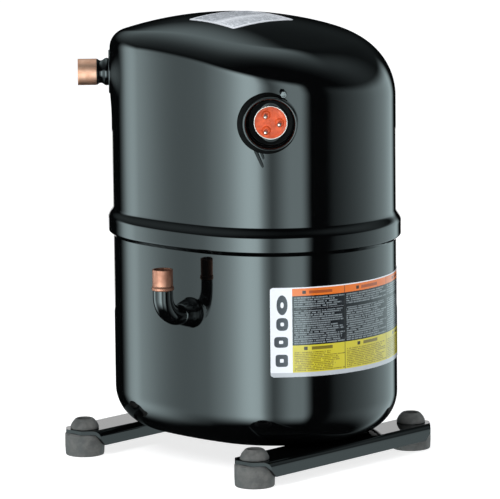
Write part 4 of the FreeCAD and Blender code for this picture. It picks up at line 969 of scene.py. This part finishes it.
half = MOUNTS["base_bolts"]["dims"]["spacing_x_mm"] / 2 * MM
sleeve_outline = rounded([(4.3, 0.0), (5.5, 0.0), (5.5, SLEEVE_TOP), (4.3, SLEEVE_TOP)], 0.2)
sleeve_meshes = [lathe_mesh(sleeve_outline, axes(Vector((x * half, y * half, 0)), UP), 64)
                 for x in (-1, 1) for y in (-1, 1)]
piece("foot_sleeves", *joined(sleeve_meshes), "zinc_steel", ["grommet_sleeves"])

# ------------------------------------------------------------------ labels


def rounded_sheet(width, height, corner, columns, rows, lift):
    """A thin sheet with rounded corners; lift(u, v, top) places a point, in metres."""
    verts = []
    uvs = []
    for top in (1, 0):
        for row in range(rows + 1):
            v = height * row / rows
            inset = 0.0
            near = min(v, height - v)
            if near < corner:
                inset = corner - math.sqrt(max(0.0, corner ** 2 - (corner - near) ** 2))
            for column in range(columns + 1):
                u = inset + (width - 2 * inset) * column / columns
                verts.append(lift(u, v, top))
                uvs.append((u, v))
    count = (rows + 1) * (columns + 1)
    faces = grid_faces(rows + 1, columns + 1, False)
    faces += [tuple(count + index for index in face) for face in faces]
    ring = [row * (columns + 1) for row in range(rows + 1)]
    ring += [rows * (columns + 1) + column for column in range(1, columns + 1)]
    ring += [row * (columns + 1) + columns for row in range(rows - 1, -1, -1)]
    ring += [column for column in range(columns - 1, 0, -1)]
    for index, first in enumerate(ring):
        second = ring[(index + 1) % len(ring)]
        faces.append((first, second, count + second, count + first))
    return verts, faces, uvs


label_low, label_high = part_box("side_label")
LABEL_START = math.radians(219)
LABEL_END = math.radians(318)
SHEET = 0.3 * MM
LABEL_RADIUS = END_RADIUS + SHEET


def on_wall(u, v, top):
    """A point of the side label, wrapped round the wall."""
    azimuth = LABEL_START + u / LABEL_RADIUS
    return wall_point(azimuth, SHEET if top else 0.02 * MM, label_low.z + v)


label_verts, label_faces, label_uvs = rounded_sheet(
    (LABEL_END - LABEL_START) * LABEL_RADIUS, label_high.z - label_low.z, 2.2 * MM, 150, 64, on_wall)
piece("side_label_sheet", label_verts, label_faces, "foil_label", ["side_label"], uvs=label_uvs,
      paint=LABEL_MATERIAL)

PLATE_CORNER = Vector((-49.7, -35.4, 0)) * MM
PLATE_TURN = Matrix.Rotation(math.radians(-4), 4, "Z")


def on_crown(u, v, top):
    """A point of the crown plate, laid on the dome."""
    flat = PLATE_CORNER + PLATE_TURN @ Vector((u, v, 0)) - DOME_CENTRE
    lift = DOME_RADIUS + (SHEET if top else 0.03 * MM)
    return DOME_CENTRE + Vector((flat.x, flat.y, math.sqrt(lift ** 2 - flat.x ** 2 - flat.y ** 2)))


plate_verts, plate_faces, plate_uvs = rounded_sheet(67 * MM, 53.5 * MM, 2.0 * MM, 48, 48, on_crown)
piece("crown_plate", plate_verts, plate_faces, "foil_label", ["nameplate"], uvs=plate_uvs,
      paint=PLATE_MATERIAL)

# ------------------------------------------------------------------ carried-over CAD nodes

SLOT_OF = {entry["node"]: entry["material_slot"] for entry in frame["record"]["subparts"]}


def springy(name):
    """A copy of a CAD node (a part that gives between shell and hung pump), with its slot's material and its
    place baked in; the node itself is hidden.
    """
    made = bpy.data.objects.new(name + "_flexing", NODES[name].data.copy())
    bpy.context.scene.collection.objects.link(made)
    for place in made.material_slots:
        place.material = MATERIALS[SLOT_OF[name]]
    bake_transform(made)
    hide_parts(name)


springy("suspension_springs")
springy("shock_loop_tube")
springy("motor_leads")

for name, carried in NODES.items():
    if carried.hide_render:
        continue
    for place in carried.material_slots:
        place.material = MATERIALS[SLOT_OF[name]]

# ------------------------------------------------------------------ floor, light and camera

FLOOR_HALF = 14.0
floor_mesh = bpy.data.meshes.new("studio_floor")
floor_mesh.from_pydata([(FLOOR_HALF * x, FLOOR_HALF * y, 0) for x, y in ((-1, -1), (1, -1), (1, 1), (-1, 1))],
                       [], [(0, 1, 2, 3)])
floor_mesh.materials.append(material("pale_floor", build=floor_skin, Roughness=0.9,
                                     Emission_Color=(1.0, 1.0, 1.0, 1.0), Emission_Strength=0.78))
floor = bpy.data.objects.new("studio_floor", floor_mesh)
bpy.context.scene.collection.objects.link(floor)
floor.visible_glossy = False

world = bpy.data.worlds.new("studio")
world.use_nodes = True
bpy.context.scene.world = world
studio = Graph(world.node_tree)
direction = studio.node("ShaderNodeSeparateXYZ", inputs={"Vector": studio.place("Generated")}).outputs
azimuth = studio.math("MULTIPLY", studio.math("ARCTAN2", direction[1], direction[0]), 180 / math.pi)
azimuth = studio.math("FLOORED_MODULO", azimuth, 360.0)
elevation = studio.math("MULTIPLY", studio.math("ARCSINE", direction[2]), 180 / math.pi)
left_box = studio.times(
    studio.add(0.9, studio.bell(azimuth, 116, 11, 2.8), studio.bell(azimuth, 165, 14, 1.5),
               studio.bell(azimuth, 198, 15, 7.2)),
    studio.smooth(azimuth, 84, 104), studio.smooth(azimuth, 203, 219, 1.0, 0.0))
middle_box = studio.times(
    studio.add(1.1, studio.smooth(azimuth, 217, 238, 0.0, 2.3)),
    studio.smooth(azimuth, 208, 216), studio.smooth(azimuth, 245, 257, 1.0, 0.0))
turned_azimuth = studio.math("FLOORED_MODULO", studio.add(azimuth, 200.0), 360.0)
right_box = studio.times(
    studio.ramp(turned_azimuth, 112, 175, 0.10, 1.6),
    studio.smooth(turned_azimuth, 108, 120), studio.smooth(turned_azimuth, 206, 220, 1.0, 0.0))
band = studio.times(studio.smooth(elevation, 4, 17, 1.0, 0.0), studio.smooth(elevation, -50, -20))
walls = studio.times(studio.add(left_box, middle_box, right_box), band)
across_ceiling = studio.math("SUBTRACT", direction[1], 0.22)
behind = studio.times(studio.math("MAXIMUM", across_ceiling, 0.0), 1 / 0.42)
before = studio.times(studio.math("MINIMUM", across_ceiling, 0.0), 1 / 0.30)
ceiling_edge = studio.add(direction[0], studio.times(direction[1], -0.17))
overhead = studio.times(
    studio.bell(direction[0], 0.2, 0.5, 1.55), studio.bell(studio.add(behind, before), 0.0, 1.0, 1.0),
    studio.smooth(ceiling_edge, 0.43, 0.58, 1.0, 0.0), studio.smooth(direction[2], 0.0, 0.5))
far_ceiling = studio.times(
    studio.bell(direction[0], 0.45, 0.33, 0.50), studio.bell(direction[1], -0.38, 0.25, 1.0),
    studio.smooth(direction[2], 0.08, 0.32))
ceiling = studio.math("MAXIMUM", studio.add(overhead, far_ceiling, -0.05), 0.0)
gloom = studio.times(studio.smooth(direction[0], 0.2, 0.7), studio.smooth(direction[2], 0.05, 0.35), 0.035)
glossy = studio.add(walls, ceiling, gloom, 0.004)
tint = studio.node("ShaderNodeCombineColor", inputs={
    "Red": studio.times(glossy, 0.80), "Green": glossy, "Blue": studio.times(glossy, 1.03)}).outputs[0]
ray = studio.node("ShaderNodeLightPath").outputs
gloss_light = studio.node("ShaderNodeBackground", inputs={"Color": tint, "Strength": 1.0}).outputs[0]
room_light = studio.node("ShaderNodeBackground", inputs={
    "Color": (0.93, 0.96, 1.0, 1.0), "Strength": 0.45}).outputs[0]
lit = studio.node("ShaderNodeMixShader")
studio.plug(lit.inputs[0], ray["Is Glossy Ray"])
studio.plug(lit.inputs[1], room_light)
studio.plug(lit.inputs[2], gloss_light)
world_out = studio.node("ShaderNodeOutputWorld")
studio.plug(world_out.inputs[0], lit.outputs[0])


def softbox(name, place, aim, size, power, mirrored=False):
    """An area light; a mirrored one only shows in gloss, the others only light matt surfaces."""
    light = bpy.data.lights.new(name, "AREA")
    light.shape = "RECTANGLE"
    light.size, light.size_y = size
    light.energy = power
    made = bpy.data.objects.new(name, light)
    made.matrix_world = axes(Vector(place), Vector(place) - Vector(aim))
    made.visible_glossy = mirrored
    made.visible_diffuse = not mirrored
    made.visible_camera = False
    bpy.context.scene.collection.objects.link(made)


softbox("key", (-2.4, -0.6, 2.2), (0, 0, 0.15), (1.4, 1.4), 52.0)
softbox("fill", (-1.0, -2.6, 1.4), (0, 0, 0.2), (1.2, 1.4), 14.0)
softbox("top", (-0.3, 0.3, 3.0), (0, 0, 0), (2.4, 2.4), 20.0)
softbox("back_strip", (0.402, 0.375, 0.105), (0, 0, 0.105), (0.52, 0.17), 0.30, True)

CAMERA_PLACE = (-2.6835, -2.4950, 0.7767)
CAMERA_LOOK = (0.72299, 0.67221, -0.15942)
CAMERA_LENS = 326.1
CAMERA_ROLL = math.radians(-0.64)
AIM_RIGHT = 0.00093
AIM_DOWN = 0.00444

camera = bpy.data.cameras.new("camera")
camera.sensor_width = 36.0
camera.lens = CAMERA_LENS
camera.clip_end = 60.0
viewer = bpy.data.objects.new("camera", camera)
forward = Vector(CAMERA_LOOK).normalized()
level = forward.cross(UP).normalized()
above = level.cross(forward)
side = level * math.cos(CAMERA_ROLL) + above * math.sin(CAMERA_ROLL)
above = above * math.cos(CAMERA_ROLL) - level * math.sin(CAMERA_ROLL)
forward = (forward + side * AIM_RIGHT - above * AIM_DOWN).normalized()
side = (side - forward * side.dot(forward)).normalized()
above = side.cross(forward)
view = Matrix((side, above, -forward)).transposed().to_4x4()
viewer.matrix_world = Matrix.Translation(CAMERA_PLACE) @ view
bpy.context.scene.collection.objects.link(viewer)
bpy.context.scene.camera = viewer
bpy.context.scene.view_settings.view_transform = "Standard"
